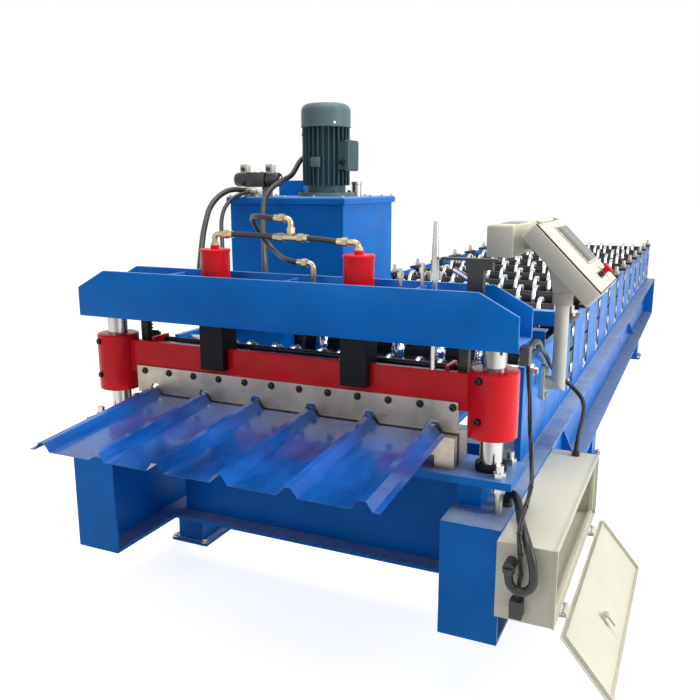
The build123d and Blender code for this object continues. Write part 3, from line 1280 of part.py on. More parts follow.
def cabinet_cables():
    """Cable bundle and conduit that come down to the glands in the cabinet's front end."""
    front = CABINET_Y[0]
    clip_y = SHEAR_Y + (TOP_DEPTH + CLIP_DEPTH) / 2
    low_x = sum(LOW_GLAND_X) / 2
    loop_y = front - GLAND_REACH
    return [
        cord("cable bundle", CABLE_BUNDLE, [
            (sum(CLIP_X) / 2, clip_y, TOP_Z + BITE), (757, 124, 985), (764, 129, 900),
            (770, 131, 805), (776, 133, 715), (787, 116, 652), (799, 56, 624), (812, -34, 620),
            (820, -118, 624), (823, -192, 614), (827, -233, 578), (834, -231, 528),
            (837, -227, 480), (833, -227, 436),
            (low_x, front - LOW_GLAND_REACH / 2, LOW_GLAND_Z[1] - BITE)]),
        cord("conduit", CONDUIT, [
            (*FLOOR_GLAND_AT, BEAM_TOP + FLOOR_GLAND_HEIGHT - BITE), (742, 10, 598), (762, -6, 608),
            (781, -36, 600), (794, -76, 590), (808, -126, 586), (826, -176, 582), (850, -224, 564),
            (868, -245, 528), (875, loop_y, 484), (873, loop_y, 460), (858, loop_y, 441),
            (835, loop_y - 1, 436), (815, loop_y, 448), (808, loop_y, 470),
            (GLAND_X, loop_y, GLAND_Z - GLAND_DROP + BITE)]),
    ]


NODES = {}


def node(name, shape):
    """Keeps a named piece, one solid or several."""
    NODES[name] = shape


node("base_beam_left", base_beam(-1))
node("base_beam_right", base_beam(1))
node("cross_beams", cross_beams() + [drive_seat()])
node("left_wall", wall(-1))
node("right_wall", wall(1))
node("bearing_blocks", bearing_blocks())
node("screw_caps", screw_caps() + jack_screws() + wall_studs())
for i, y in enumerate(STAND_Y, 1):
    node(f"upper_roll_{i:02d}", upper_roll(y))
    node(f"lower_roll_{i:02d}", lower_roll(i - 1, y))
node("outfeed_roller", outfeed_roller())
node("drive_motor", drive_motor())
node("drive_sprocket", drive_sprocket())
node("drive_chain", drive_chain())
node("entry_table", entry_table())
node("bed_plate", bed_plate())
node("bed_bolts", bed_bolts())
node("die_set", [lower_die(), die_holder(), outfeed_bar()])
node("guide_posts", guide_posts() + sync_racks())
node("top_beam", top_beam())
node("cylinders", cylinders())
node("moving_beam", moving_beam())
node("sync_shaft", sync_shaft())
node("shear_blade", shear_blade())
node("rams", rams() + [stroke_rod()])
node("limit_switch", [limit_switch()] + stop_studs() + cable_fittings())
node("tank_frame", tank_frame())
node("hydraulic_tank", [hydraulic_tank(), tank_lid()] + lid_fittings())
node("pump_motor", pump_motor())
node("valve_stack", valve_stack())
node("console_pole", console_pole())
node("console_box", console_box())
node("cabinet_shell", cabinet_shell())
node("cabinet_door", cabinet_door())
node("roofing_sheet", roofing_sheet())
node("hose_fittings", line_fittings() + port_fittings())
node("cylinder_hoses", cylinder_hoses())
node("tank_hoses", tank_hoses())
node("console_cable", console_cable())
node("cabinet_cables", cabinet_cables())

# The finished machine stands with its origin on the floor, in the middle of its box.
pieces = []
for shape in NODES.values():
    pieces += shape if isinstance(shape, list) else [shape]
middle = Compound(pieces).bounding_box().center()
origin = Pos(-middle.X, -middle.Y, 0)
print(f"origin at x {middle.X:.3f}, y {middle.Y:.3f}")

for name, shape in NODES.items():
    export_step(origin * (Compound(shape) if isinstance(shape, list) else shape), f"parts/{name}.step")
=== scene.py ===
import math

import bmesh
import bpy
from mathutils import Matrix, Vector

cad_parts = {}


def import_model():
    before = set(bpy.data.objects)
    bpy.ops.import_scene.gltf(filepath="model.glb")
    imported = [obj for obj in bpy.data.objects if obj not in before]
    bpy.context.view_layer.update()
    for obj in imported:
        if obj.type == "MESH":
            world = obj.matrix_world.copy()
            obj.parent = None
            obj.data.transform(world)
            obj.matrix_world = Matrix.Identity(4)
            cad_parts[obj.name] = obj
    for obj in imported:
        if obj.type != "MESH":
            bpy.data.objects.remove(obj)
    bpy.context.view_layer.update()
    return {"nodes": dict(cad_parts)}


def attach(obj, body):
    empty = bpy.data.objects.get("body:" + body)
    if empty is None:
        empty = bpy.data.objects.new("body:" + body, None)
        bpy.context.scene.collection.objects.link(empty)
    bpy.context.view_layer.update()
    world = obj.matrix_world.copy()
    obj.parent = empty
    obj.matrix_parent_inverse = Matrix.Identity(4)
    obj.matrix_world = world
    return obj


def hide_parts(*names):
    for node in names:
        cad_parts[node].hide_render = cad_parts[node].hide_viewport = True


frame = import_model()

# Sizes are in millimetres from the middle of the shear, on the floor, as in the CAD source.
# MIDDLE is the point there that the finished machine has its origin at.
MIDDLE = Vector((160.738, 2970.150, 0.0))
MM = 0.001
WORLD = Matrix.Scale(MM, 4) @ Matrix.Translation(-MIDDLE)

# Rolls and their walls
STANDS = 11
FIRST_STAND_Y = 1372
STAND_PITCH = 459
STAND_Y = [FIRST_STAND_Y + STAND_PITCH * i for i in range(STANDS)]
LOWER_Z = 684
UPPER_Z = 849
WALL_X = 700
WALL_ENDS = (360, 6148)
BEAM_X = 678
BEAM_TOP = 560
LEG_Y = (450, 2150, 4980)
LEG_TOP = 210
RIB_X = [(i - 2.5) * 205 for i in range(6)]
TUBE_HALF = 625
TUBE_RADIUS = 48
SHAFT_RADIUS = 25
RING_RADIUS = 80
RING_GAP = 44
SHAFT_FLUSH = 704
SHAFT_LEFT = 750
MALE_RISE = 23.5
ROLLER_AT = (0, 560, 812)
ROLLER_RADIUS = 26.5
ROLLER_SHAFT = 15
ROLLER_GAP = 43

# Chain and sprockets on the left wall
CHAIN_X = -734
DRIVE_Y = 800
DRIVE_Z = 617
SPROCKET_RADIUS = 60
SPROCKET_TEETH = 20
LINK = 19.05

# Shear
SHEAR_Y = 13
POST_X = 686
SLEEVE_RADIUS = 73
RAM_X = 258
TOP_Z = 1039
TOP_TOP = 1200
TOP_SHOULDER = 1139
TOP_HALF = 770
TOP_FLAT = 656
SEAT_LOW = 1100
SEAT_HIGH = 1112
SEAT_HALF = 80
TOP_FRONT = -80.5
TOP_REAR = 106.5
TOP_PLATE = 12
TOP_RIBS = (-444, 3, 444)
BLADE_FACE = -11
BLADE_BOLT_Z = 846
BLADE_BOLTS = [9 + (i - 5.5) * 102.4 for i in range(12)]
SLEEVE_BOLT_ANGLE = -112
SLEEVE_BOLT_Z = (825, 945)

# Hydraulic unit
LID_TOP = 1438
MOTOR_AT = (-317, 962)
MOTOR_TOP = 1823
COWL_LOW = 1728
VALVE_AT = (-550, 780)
COIL_Z = 1508

# Console and cabinet
CONSOLE_FACE = (802, 704, 1250)
CONSOLE_TILT = 45
PANEL = (WORLD @ Matrix.Translation(CONSOLE_FACE)
         @ Matrix.Rotation(math.radians(CONSOLE_TILT), 4, "Y"))
POLE_AT = (758, 690)
CABINET_LOW = (765.3, -210, 328)
CABINET_HIGH = (928, 610, 550)
DOOR_PIVOT = (936, 318)
DOOR_OPEN = 140
DOOR = (WORLD @ Matrix.Translation((DOOR_PIVOT[0], 0, DOOR_PIVOT[1]))
        @ Matrix.Rotation(math.radians(DOOR_OPEN), 4, "Y"))

# Camera where the photograph was taken from
CAMERA_AT = (1208.4, -2134.0, 1487.5)
CAMERA_YAW = 0.428
CAMERA_PITCH = 0.210
CAMERA_LENS = 39.92


def at(x, y, z):
    """Point of the machine, in metres from its origin."""
    return WORLD @ Vector((x, y, z))


def camera():
    """Camera at the photograph's place and angle."""
    data = bpy.data.cameras.new("camera")
    data.sensor_width = 36.0
    data.lens = CAMERA_LENS
    data.clip_end = 200.0
    made = bpy.data.objects.new("camera", data)
    made.location = at(*CAMERA_AT)
    made.rotation_euler = (math.pi / 2 - CAMERA_PITCH, 0.0, CAMERA_YAW)
    bpy.context.collection.objects.link(made)
    bpy.context.scene.camera = made


camera()


# Materials

def graph(name):
    """New material with its nodes, links and shader."""
    material = bpy.data.materials.new(name)
    material.use_nodes = True
    nodes = material.node_tree.nodes
    return material, nodes, material.node_tree.links, nodes["Principled BSDF"]


def add(nodes, kind, **values):
    """Node of a kind, with its settings or the defaults of its sockets."""
    made = nodes.new(kind)
    for key, value in values.items():
        if hasattr(made, key):
            setattr(made, key, value)
        else:
            made.inputs[key.replace("_", " ")].default_value = value
    return made


def noise(nodes, links, where, scale, detail=3.0, rough=0.55):
    """Noise texture over a place."""
    made = add(nodes, "ShaderNodeTexNoise", Scale=scale, Detail=detail, Roughness=rough)
    links.new(where, made.inputs["Vector"])
    return made.outputs["Fac"]


def stretched(nodes, links, where, scale):
    """Place pulled along its axes, so that a texture turns into streaks."""
    made = nodes.new("ShaderNodeMapping")
    made.inputs["Scale"].default_value = scale
    links.new(where, made.inputs["Vector"])
    return made.outputs["Vector"]


def ramp(nodes, links, source, stops):
    """Colour ramp over a value, from (place, colour) stops."""
    made = nodes.new("ShaderNodeValToRGB")
    made.color_ramp.elements[0].position = stops[0][0]
    made.color_ramp.elements[1].position = stops[-1][0]
    for place, _ in stops[1:-1]:
        made.color_ramp.elements.new(place)
    for element, (_, colour) in zip(made.color_ramp.elements, stops):
        element.color = (*colour, 1.0)
    links.new(source, made.inputs["Fac"])
    return made.outputs["Color"]


def spread(nodes, links, source, low, high):
    """Value of a texture mapped between two limits."""
    made = nodes.new("ShaderNodeMapRange")
    for key, value in (("From Min", 0.3), ("From Max", 0.7), ("To Min", low), ("To Max", high)):
        made.inputs[key].default_value = value
    links.new(source, made.inputs["Value"])
    return made.outputs["Result"]


def over(nodes, links, share, below, above):
    """One colour over another where a mask says."""
    made = add(nodes, "ShaderNodeMix", data_type="RGBA")
    links.new(share, made.inputs["Factor"])
    links.new(below, made.inputs["A"])
    if isinstance(above, tuple):
        made.inputs["B"].default_value = (*above, 1.0)
    else:
        links.new(above, made.inputs["B"])
    return made.outputs["Result"]


def bump(nodes, links, shader, source, depth, strength):
    """Small relief from a texture."""
    made = add(nodes, "ShaderNodeBump", Strength=strength, Distance=depth)
    links.new(source, made.inputs["Height"])
    links.new(made.outputs["Normal"], shader.inputs["Normal"])


def shades(colour, share):
    """Darker and lighter neighbour of a colour."""
    return (tuple(c * (1 - share) for c in colour), tuple(min(1.0, c * (1 + share)) for c in colour))


def enamel(name, colour, rough, mottle=0.12, coat=0.0, dust_and_sheen=0.0, peel=0.25):
    """Sprayed machine paint: uneven in colour and gloss, orange peel, upward faces greyed by settled grime
    and by a painted sheen.
    """
    material, nodes, links, shader = graph(name)
    where = nodes.new("ShaderNodeTexCoord").outputs["Object"]
    dark, light = shades(colour, mottle)
    clouds = noise(nodes, links, where, 4.0, 5.0, 0.6)
    tint = ramp(nodes, links, clouds, [(0.32, dark), (0.5, colour), (0.68, light)])
    scuffs = noise(nodes, links, stretched(nodes, links, where, (1.0, 1.0, 5.0)), 38.0, 6.0, 0.75)
    worn = ramp(nodes, links, scuffs, [(0.66, (0.0, 0.0, 0.0)), (0.78, (0.35, 0.35, 0.35))])
    tint = over(nodes, links, worn, tint, light)
    # Upward faces greyed: partly settled grime, partly a painted sheen on the tops.
    if dust_and_sheen:
        split = nodes.new("ShaderNodeSeparateXYZ")
        links.new(nodes.new("ShaderNodeNewGeometry").outputs["True Normal"], split.inputs["Vector"])
        patches = noise(nodes, links, where, 9.0, 6.0, 0.7)
        lying = add(nodes, "ShaderNodeMath", operation="MULTIPLY", use_clamp=True)
        links.new(split.outputs["Z"], lying.inputs[0])
        links.new(spread(nodes, links, patches, dust_and_sheen * 0.4, dust_and_sheen), lying.inputs[1])
        tint = over(nodes, links, lying.outputs["Value"], tint, (0.42, 0.44, 0.46))
    links.new(tint, shader.inputs["Base Color"])
    gloss = noise(nodes, links, where, 14.0, 4.0)
    links.new(spread(nodes, links, gloss, rough * 0.8, min(1.0, rough * 1.3)), shader.inputs["Roughness"])
    bump(nodes, links, shader, noise(nodes, links, where, 160.0, 2.0), 0.0004, peel)
    shader.inputs["Specular IOR Level"].default_value = 0.12
    shader.inputs["Coat Weight"].default_value = coat
    shader.inputs["Coat Roughness"].default_value = 0.12
    return material


def steel(name, colour, rough, stretch=(1.0, 1.0, 1.0), scale=60.0, stain=0.2, painted_reflection_streaks=0.0):
    """Bare metal with machining marks along one direction and faint stains; if asked, dark lengthwise stripes
    that are painted reflections.
    """
    material, nodes, links, shader = graph(name)
    where = nodes.new("ShaderNodeTexCoord").outputs["Object"]
    marks = noise(nodes, links, stretched(nodes, links, where, stretch), scale, 6.0, 0.7)
    dark = shades(colour, stain)[0]
    stains = noise(nodes, links, where, 7.0, 5.0, 0.65)
    tint = ramp(nodes, links, stains, [(0.35, dark), (0.62, colour)])
    # Dark lengthwise stripes on the bar: painted reflections on the polished metal.
    if painted_reflection_streaks:
        lines = noise(nodes, links, stretched(nodes, links, where, stretch), scale * 0.6, 2.0, 0.5)
        painted_reflection_mask = ramp(nodes, links, lines, [(0.42, (painted_reflection_streaks,) * 3), (0.54, (0.0, 0.0, 0.0))])
        tint = over(nodes, links, painted_reflection_mask, tint, shades(colour, 0.82)[0])
    links.new(tint, shader.inputs["Base Color"])
    links.new(spread(nodes, links, marks, rough * 0.7, min(1.0, rough * 1.4)), shader.inputs["Roughness"])
    bump(nodes, links, shader, marks, 0.0001, 0.3)
    shader.inputs["Metallic"].default_value = 1.0
    return material


def moulded(name, colour, rough, scale=220.0):
    """Moulded plastic or rubber with a fine grain."""
    material, nodes, links, shader = graph(name)
    where = nodes.new("ShaderNodeTexCoord").outputs["Object"]
    clouds = noise(nodes, links, where, 9.0)
    low, high = shades(colour, 0.25)
    links.new(ramp(nodes, links, clouds, [(0.35, low), (0.65, high)]), shader.inputs["Base Color"])
    links.new(spread(nodes, links, clouds, rough * 0.85, min(1.0, rough * 1.15)), shader.inputs["Roughness"])
    bump(nodes, links, shader, noise(nodes, links, where, scale, 2.0), 0.0002, 0.3)
    return material


def coated_sheet():
    """Blue coil coating: glossy, with lengthwise roll marks, oil smears and light scratches."""
    material, nodes, links, shader = graph("coated_sheet")
    where = nodes.new("ShaderNodeTexCoord").outputs["Object"]
    smears = noise(nodes, links, stretched(nodes, links, where, (1.0, 0.45, 1.0)), 5.0, 6.0, 0.62)
    tint = ramp(nodes, links, smears, [(0.34, (0.003, 0.040, 0.19)), (0.5, (0.004, 0.085, 0.36)),
                                       (0.68, (0.008, 0.15, 0.56))])
    lines = noise(nodes, links, stretched(nodes, links, where, (30.0, 0.6, 30.0)), 9.0, 5.0, 0.7)
    marks = ramp(nodes, links, lines, [(0.6, (0.0, 0.0, 0.0)), (0.74, (0.3, 0.3, 0.3))])
    links.new(over(nodes, links, marks, tint, (0.10, 0.22, 0.62)), shader.inputs["Base Color"])
    links.new(spread(nodes, links, smears, 0.13, 0.30), shader.inputs["Roughness"])
    bump(nodes, links, shader, lines, 0.0003, 0.2)
    shader.inputs["Coat Weight"].default_value = 0.3
    shader.inputs["Coat Roughness"].default_value = 0.07
    return material


# Blue paints: their grey upward faces are partly grime and partly a painted sheen, strongest on the frame.
BLUE = enamel("machine_blue", (0.0008, 0.175, 0.62), 0.36, dust_and_sheen=0.45)
DEEP_BLUE = enamel("frame_blue", (0.0008, 0.15, 0.54), 0.38, dust_and_sheen=0.9)
RED = enamel("shear_red", (0.80, 0.008, 0.016), 0.26, 0.1, coat=0.12)
CREAM = enamel("cabinet_cream", (0.66, 0.64, 0.53), 0.42, 0.04)
CREAM_GREY = enamel("console_side", (0.56, 0.53, 0.44), 0.46, 0.05)
MOTOR_GREEN = enamel("motor_green", (0.060, 0.115, 0.125), 0.40, 0.18, coat=0.04)
COWL_GREEN = enamel("cowl_green", (0.125, 0.19, 0.19), 0.36, 0.12, coat=0.05)
STOP_RED = enamel("stop_red", (0.62, 0.010, 0.030), 0.3, 0.05)
BLACK_IRON = steel("black_iron", (0.045, 0.043, 0.042), 0.42, scale=40.0, stain=0.35)
RAM_BLACK = enamel("ram_black", (0.010, 0.011, 0.014), 0.38, 0.3)
BLADE_STEEL = steel("blade_steel", (0.46, 0.405, 0.34), 0.38, (1.0, 1.0, 14.0), 24.0, 0.35)
BRIGHT_STEEL = steel("bright_steel", (0.58, 0.58, 0.58), 0.24, (1.0, 1.0, 6.0), 50.0, 0.3)
RING_CHROME = steel("ring_chrome", (0.78, 0.79, 0.8), 0.12, (8.0, 1.0, 1.0), 30.0, 0.12)
TUBE_BLACK = enamel("tube_black", (0.012, 0.013, 0.015), 0.33, 0.3)
CHAIN_STEEL = steel("chain_steel", (0.13, 0.12, 0.11), 0.42)
# Guide post chrome: its dark lengthwise stripes are painted reflections.
POST_CHROME = steel("post_chrome", (0.60, 0.59, 0.58), 0.13, (26.0, 26.0, 0.35), 1.0, 0.2, 0.85)
YELLOW_ZINC = steel("yellow_zinc", (0.56, 0.46, 0.28), 0.3, stain=0.4)
ZINC = steel("zinc_plate", (0.60, 0.58, 0.53), 0.3, stain=0.25)
HOSE = moulded("hose_rubber", (0.014, 0.013, 0.013), 0.42)
CABLE = moulded("cable_sheath", (0.020, 0.020, 0.021), 0.5)
BLACK_PLASTIC = moulded("black_plastic", (0.018, 0.018, 0.02), 0.4)
SCREEN = moulded("screen_glass", (0.050, 0.047, 0.045), 0.16, 60.0)
SHEET_BLUE = coated_sheet()

NODE_LOOKS = {
    "base_beam_left": DEEP_BLUE, "base_beam_right": DEEP_BLUE, "cross_beams": DEEP_BLUE,
    "left_wall": BLUE, "right_wall": BLUE, "bearing_blocks": BLACK_IRON, "screw_caps": ZINC,
    "outfeed_roller": RING_CHROME, "drive_motor": MOTOR_GREEN, "drive_sprocket": CHAIN_STEEL,
    "drive_chain": CHAIN_STEEL, "entry_table": BLUE, "bed_plate": BLUE, "bed_bolts": ZINC,
    "die_set": BLADE_STEEL, "guide_posts": POST_CHROME, "top_beam": BLUE, "cylinders": RED,
    "moving_beam": RED, "sync_shaft": BLACK_IRON, "shear_blade": BLADE_STEEL, "rams": RAM_BLACK,
    "limit_switch": BLACK_PLASTIC, "tank_frame": BLUE, "hydraulic_tank": BLUE,
    "pump_motor": MOTOR_GREEN, "valve_stack": BLACK_PLASTIC, "console_pole": CREAM,
    "console_box": CREAM, "cabinet_shell": CREAM, "cabinet_door": CREAM,
    "roofing_sheet": SHEET_BLUE, "hose_fittings": YELLOW_ZINC, "cylinder_hoses": HOSE,
    "tank_hoses": HOSE, "console_cable": CABLE, "cabinet_cables": CABLE,
}
for name in frame["nodes"]:
    mesh = frame["nodes"][name].data
    mesh.materials.clear()
    mesh.materials.append(NODE_LOOKS.get(name, RING_CHROME))

# Other finishes on the same piece: material and the box of the machine that it fills.
ZONES = {
    "screw_caps": [(BLACK_IRON, (-720, 1300, 899), (720, 6100, 917))],
    "guide_posts": [(BLACK_IRON, (-601, 30, 860), (601, 75, 1045))],
    "rams": [(BRIGHT_STEEL, (480, -20, 945), (520, 50, 1390)),
             (POST_CHROME, (-285, -15, 1044), (285, 40, 1200))],
    "limit_switch": [(BRIGHT_STEEL, (520, 5, 1200), (606, 25, 1252)), (ZINC, (380, 0, 1050), (475, 30, 1300)),
                     (ZINC, (738, 100, 1036), (766, 132, 1068))],
    "hydraulic_tank": [(ZINC, (-262, 1075, 1437), (-208, 1125, 1510))],
    "pump_motor": [(COWL_GREEN, (-430, 840, COWL_LOW - 2), (-200, 1080, 1830)),
                   (COWL_GREEN, (-445, 830, 1437), (-190, 1090, 1456))],
    "cabinet_shell": [(BLACK_PLASTIC, (780, -270, 470), (830, -210.5, 520)),
                      (BLACK_PLASTIC, (808, -250, 350), (850, -210.5, 404)),
                      (BLACK_PLASTIC, (836, 550, 550.5), (870, 590, 570))],
}
for name, parts in ZONES.items():
    mesh = frame["nodes"][name].data
    for slot, (material, low, high) in enumerate(parts, 1):
        mesh.materials.append(material)
        low, high = at(*low), at(*high)
        for face in mesh.polygons:
            if all(a <= c <= b for a, c, b in zip(low, face.center, high)):
                face.material_index = slot


# Making of pieces

def piece(name, bm, body, slot, *materials, smooth=40.0):
    """Turns a bmesh into a piece that rides on a body, with its finish and smooth curves."""
    bmesh.ops.remove_doubles(bm, verts=bm.verts, dist=1e-6)
    bmesh.ops.recalc_face_normals(bm, faces=bm.faces)
    bm.faces.layers.int.remove(fresh(bm)[1])
    mesh = bpy.data.meshes.new(name)
    bm.to_mesh(mesh)
    bm.free()
    for material in materials:
        mesh.materials.append(material)
    mesh.shade_smooth()
    mesh.set_sharp_from_angle(angle=math.radians(smooth))
    made = bpy.data.objects.new(name, mesh)
    bpy.context.collection.objects.link(made)
    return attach(made, body)


def fresh(bm):
    """Faces without a material yet, and the layer that tells them."""
    done = bm.faces.layers.int.get("done") or bm.faces.layers.int.new("done")
    return [face for face in bm.faces if not face[done]], done


def mark(bm, material):
    """Gives the faces of the shape just made their material."""
    faces, done = fresh(bm)
    for face in faces:
        face[done] = 1
        face.material_index = material


def ease(bm, edges, width, segments=2):
    """Rounds edges by a width."""
    bmesh.ops.bevel(bm, geom=list(edges), offset=width * MM, offset_type="OFFSET",
                    segments=segments, profile=0.5, affect="EDGES", material=-1)


def edges_of(verts):
    """Edges between vertices."""
    return {e for v in verts for e in v.link_edges}


def slab(bm, low, high, edge=0.0, material=0, place=WORLD, upright=0.0):
    """Block between two corners, its edges eased, its upright ones rounded more if asked."""
    size = Vector(high) - Vector(low)
    middle = (Vector(high) + Vector(low)) / 2
    shape = place @ Matrix.Translation(middle) @ Matrix.Diagonal((*size, 1.0))
    made = bmesh.ops.create_cube(bm, size=1.0, matrix=shape)["verts"]
    if upright:
        axis = (place.to_3x3() @ Vector((0, 0, 1))).normalized()
        along = [e for e in edges_of(made)
                 if abs((e.verts[0].co - e.verts[1].co).normalized().dot(axis)) > 0.99]
        ease(bm, along, upright, 5)
        made = {v for f in fresh(bm)[0] for v in f.verts}
    if edge:
        rims = [e for e in edges_of(made) if len(e.link_faces) == 2 and e.calc_face_angle(0) > 0.6]
        ease(bm, rims, edge)
    mark(bm, material)


def plate(bm, outline, depth, edge=0.0, material=0, place=WORLD):
    """Plate cut to an outline of points and as thick as a vector says, its edges eased."""
    face = bm.faces.new([bm.verts.new(place @ Vector(p)) for p in outline])
    grown = bmesh.ops.extrude_face_region(bm, geom=[face])["geom"]
    tops = [g for g in grown if isinstance(g, bmesh.types.BMVert)]
    bmesh.ops.translate(bm, verts=tops, vec=place.to_3x3() @ Vector(depth))
    if edge:
        ease(bm, edges_of(tops + list(face.verts)), edge)
    mark(bm, material)


def round_bar(bm, start, end, radius, sides=24, tip=None, material=0, edge=0.0, place=WORLD):
    """Round or many-sided bar between two points."""
    a, b = Vector(start), Vector(end)
    turn = (b - a).to_track_quat("Z", "Y").to_matrix().to_4x4()
    shape = place @ Matrix.Translation((a + b) / 2) @ turn
    made = bmesh.ops.create_cone(bm, cap_ends=True, segments=sides, radius1=radius,
                                 radius2=radius if tip is None else tip,
                                 depth=(b - a).length, matrix=shape)["verts"]
    if edge:
        ease(bm, [e for e in edges_of(made) if any(len(f.verts) > 4 for f in e.link_faces)], edge)
    mark(bm, material)


def bolt(bm, centre, axis, across, height, washer=0.0, material=0, place=WORLD, socket=False):
    """Bolt head on a face: hexagon, or round with a hollow for the key, washer under it."""
    base, n = Vector(centre), Vector(axis).normalized()
    if washer:
        round_bar(bm, base, base + n * 2.0, washer, 20, material=material, place=place)
        base = base + n * 2.0
    sides = 20 if socket else 6
    round_bar(bm, base, base + n * height, across / 2, sides, material=material,
              edge=min(1.0, across / 14), place=place)
    if socket:
        top = base + n * height
        round_bar(bm, top - n * 0.2, top + n * 0.4, across / 4.2, 6, material=material + 1, place=place)


def bead(bm, start, end, radius=3.5, material=0, place=WORLD):
    """Weld bead along a seam."""
    round_bar(bm, start, end, radius, 8, material=material, place=place)


def turned(bm, profile, origin, steps, limits):
    """Spins (x, radius) points about an axis along X; faces beyond a radius take its material."""
    x0, y0, z0 = origin
    centre = at(x0, y0, z0)
    points = [bm.verts.new(at(x0 + x, y0, z0 + r)) for x, r in profile]
    runs = [bm.edges.new(pair) for pair in zip(points, points[1:])]
    bmesh.ops.spin(bm, geom=points + runs, cent=centre, axis=(1, 0, 0), dvec=(0, 0, 0),
                   angle=2 * math.pi, steps=steps, use_merge=True)
    faces, done = fresh(bm)
    for face in faces:
        face[done] = 1
        reach = max((v.co - centre).yz.length for v in face.verts)
        face.material_index = next(m for limit, m in limits if reach > limit * MM)


def cog(bm, x, y, z, width, radius, depth, teeth, material=0):
    """Chain wheel with tapered teeth on an axis along X."""
    outline = []
    for tooth in range(teeth):
        for share, reach in ((-0.3, radius - depth), (-0.12, radius), (0.12, radius), (0.3, radius - depth)):
            angle = 2 * math.pi * (tooth + share) / teeth
            outline.append((x - width / 2, y + reach * math.cos(angle), z + reach * math.sin(angle)))
    plate(bm, outline, (width, 0, 0), material=material)


# Cords: each route's points are the ones that its CAD tube has.

def route(name, points, radius=0.0):
    """Smooth open NURBS line through the machine with a route's points as its control points."""
    curve = bpy.data.curves.new(name, "CURVE")
    curve.dimensions = "3D"
    line = curve.splines.new("NURBS")
    line.points.add(len(points) - 1)
    for spot, point in zip(line.points, points):
        spot.co = (*at(*point), 1.0)
    line.order_u = 3
    line.use_endpoint_u = True
    line.resolution_u = 16
    curve.bevel_depth = radius * MM
    curve.bevel_resolution = 5
    curve.use_fill_caps = True
    made = bpy.data.objects.new(name, curve)
    bpy.context.collection.objects.link(made)
    return made


def line_points(points):
    """Points along a route's smooth line, in metres."""
    bare = route("bare_line", points)
    bpy.context.view_layer.update()
    mesh = bpy.data.meshes.new_from_object(bare)
    found = [v.co.copy() for v in mesh.vertices]
    bpy.data.meshes.remove(mesh)
    bpy.data.objects.remove(bare)
    return found


def length_of(line):
    """Length of a line of points."""
    return sum((b - a).length for a, b in zip(line, line[1:]))


def hose(name, node, points, diameter, material):
    """Free hose or cable between two fittings of the machine."""
    made = route(name, points, diameter / 2)
    made.data.materials.append(material)
    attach(made, "frame")
    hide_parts(node)
    length_of(line_points(points))
    return made


HOSES = [
    ("left_hose", "cylinder_hoses", 17, [
        (-188.5, 13, 1330), (-115, 11, 1333), (-33.5, 13, 1325)]),
    ("right_hose", "cylinder_hoses", 17, [
        (85.5, 13, 1325), (138, 12, 1324), (188.5, 13, 1317)]),
    ("branch_hose", "cylinder_hoses", 17, [
        (-29.5, 13, 1384), (-78, 18, 1388), (-128, 46, 1389), (-166, 96, 1378), (-184, 148, 1352),
        (-180, 186, 1312), (-148, 190, 1276), (-106, 160, 1258), (-64, 116, 1252), (-22, 76, 1247),
        (25.5, 60, 1243)]),
    ("valve_hose", "tank_hoses", 22, [
        (-583, 713.5, 1463), (-598, 662, 1472), (-616, 590, 1450), (-612, 505, 1402),
        (-575, 425, 1356), (-531, 340, 1314), (-485, 262, 1272), (-449, 198, 1222),
        (-429, 160, 1172), (-421, 145, 1126), (-418, 143, 1083.5)]),
    ("second_valve_hose", "tank_hoses", 16, [
        (-556, 713.5, 1456), (-567, 660, 1450), (-574, 600, 1428), (-562, 530, 1394),
        (-520, 445, 1350), (-470, 370, 1310), (-418, 296, 1264), (-378, 228, 1208),
        (-356, 176, 1158), (-347, 150, 1118), (-345, 143, 1083.5)]),
    ("return_hose", "tank_hoses", 22, [
        (-395, 1130, 1463.5), (-397, 1133, 1532), (-406, 1106, 1600), (-425, 1042, 1628),
        (-446, 968, 1595), (-432, 893, 1549), (-413, 820, 1522), (-410, 745, 1506),
        (-421, 675, 1478), (-412, 600, 1438), (-372, 520, 1395), (-322, 435, 1352),
        (-268, 342, 1308), (-215, 255, 1262), (-178, 196, 1212), (-155, 160, 1160),
        (-145, 143, 1098.5)]),
    ("console_cable_run", "console_cable", 16, [
        (783, -15.5, 1030), (784, 42, 1042), (782, 112, 1040), (775, 190, 1024), (763, 285, 992),
        (748, 385, 960), (735, 485, 934), (724, 590, 902), (716, 690, 864), (717, 748, 826),
        (737, 794, 784), (784, 810, 744), (830, 790, 710), (851, 738, 684), (857, 668, 664),
        (857, 608, 638), (854, 578, 602), (852, 570, 564.5)]),
    ("conduit", "cabinet_cables", 24, [
        (738, 13, 573.5), (742, 10, 598), (762, -6, 608), (781, -36, 600), (794, -76, 590),
        (808, -126, 586), (826, -176, 582), (850, -224, 564), (868, -245, 528), (875, -248, 484),
        (873, -248, 460), (858, -248, 441), (835, -249, 436), (815, -248, 448), (808, -248, 470),
        (808, -248, 487.5)]),
]
BUNDLE = [
    (752, 118.5, 1040.5), (757, 124, 985), (764, 129, 900), (770, 131, 805), (776, 133, 715),
    (787, 116, 652), (799, 56, 624), (812, -34, 620), (820, -118, 624), (823, -192, 614),
    (827, -233, 578), (834, -231, 528), (837, -227, 480), (833, -227, 436), (829, -227, 400.5)]


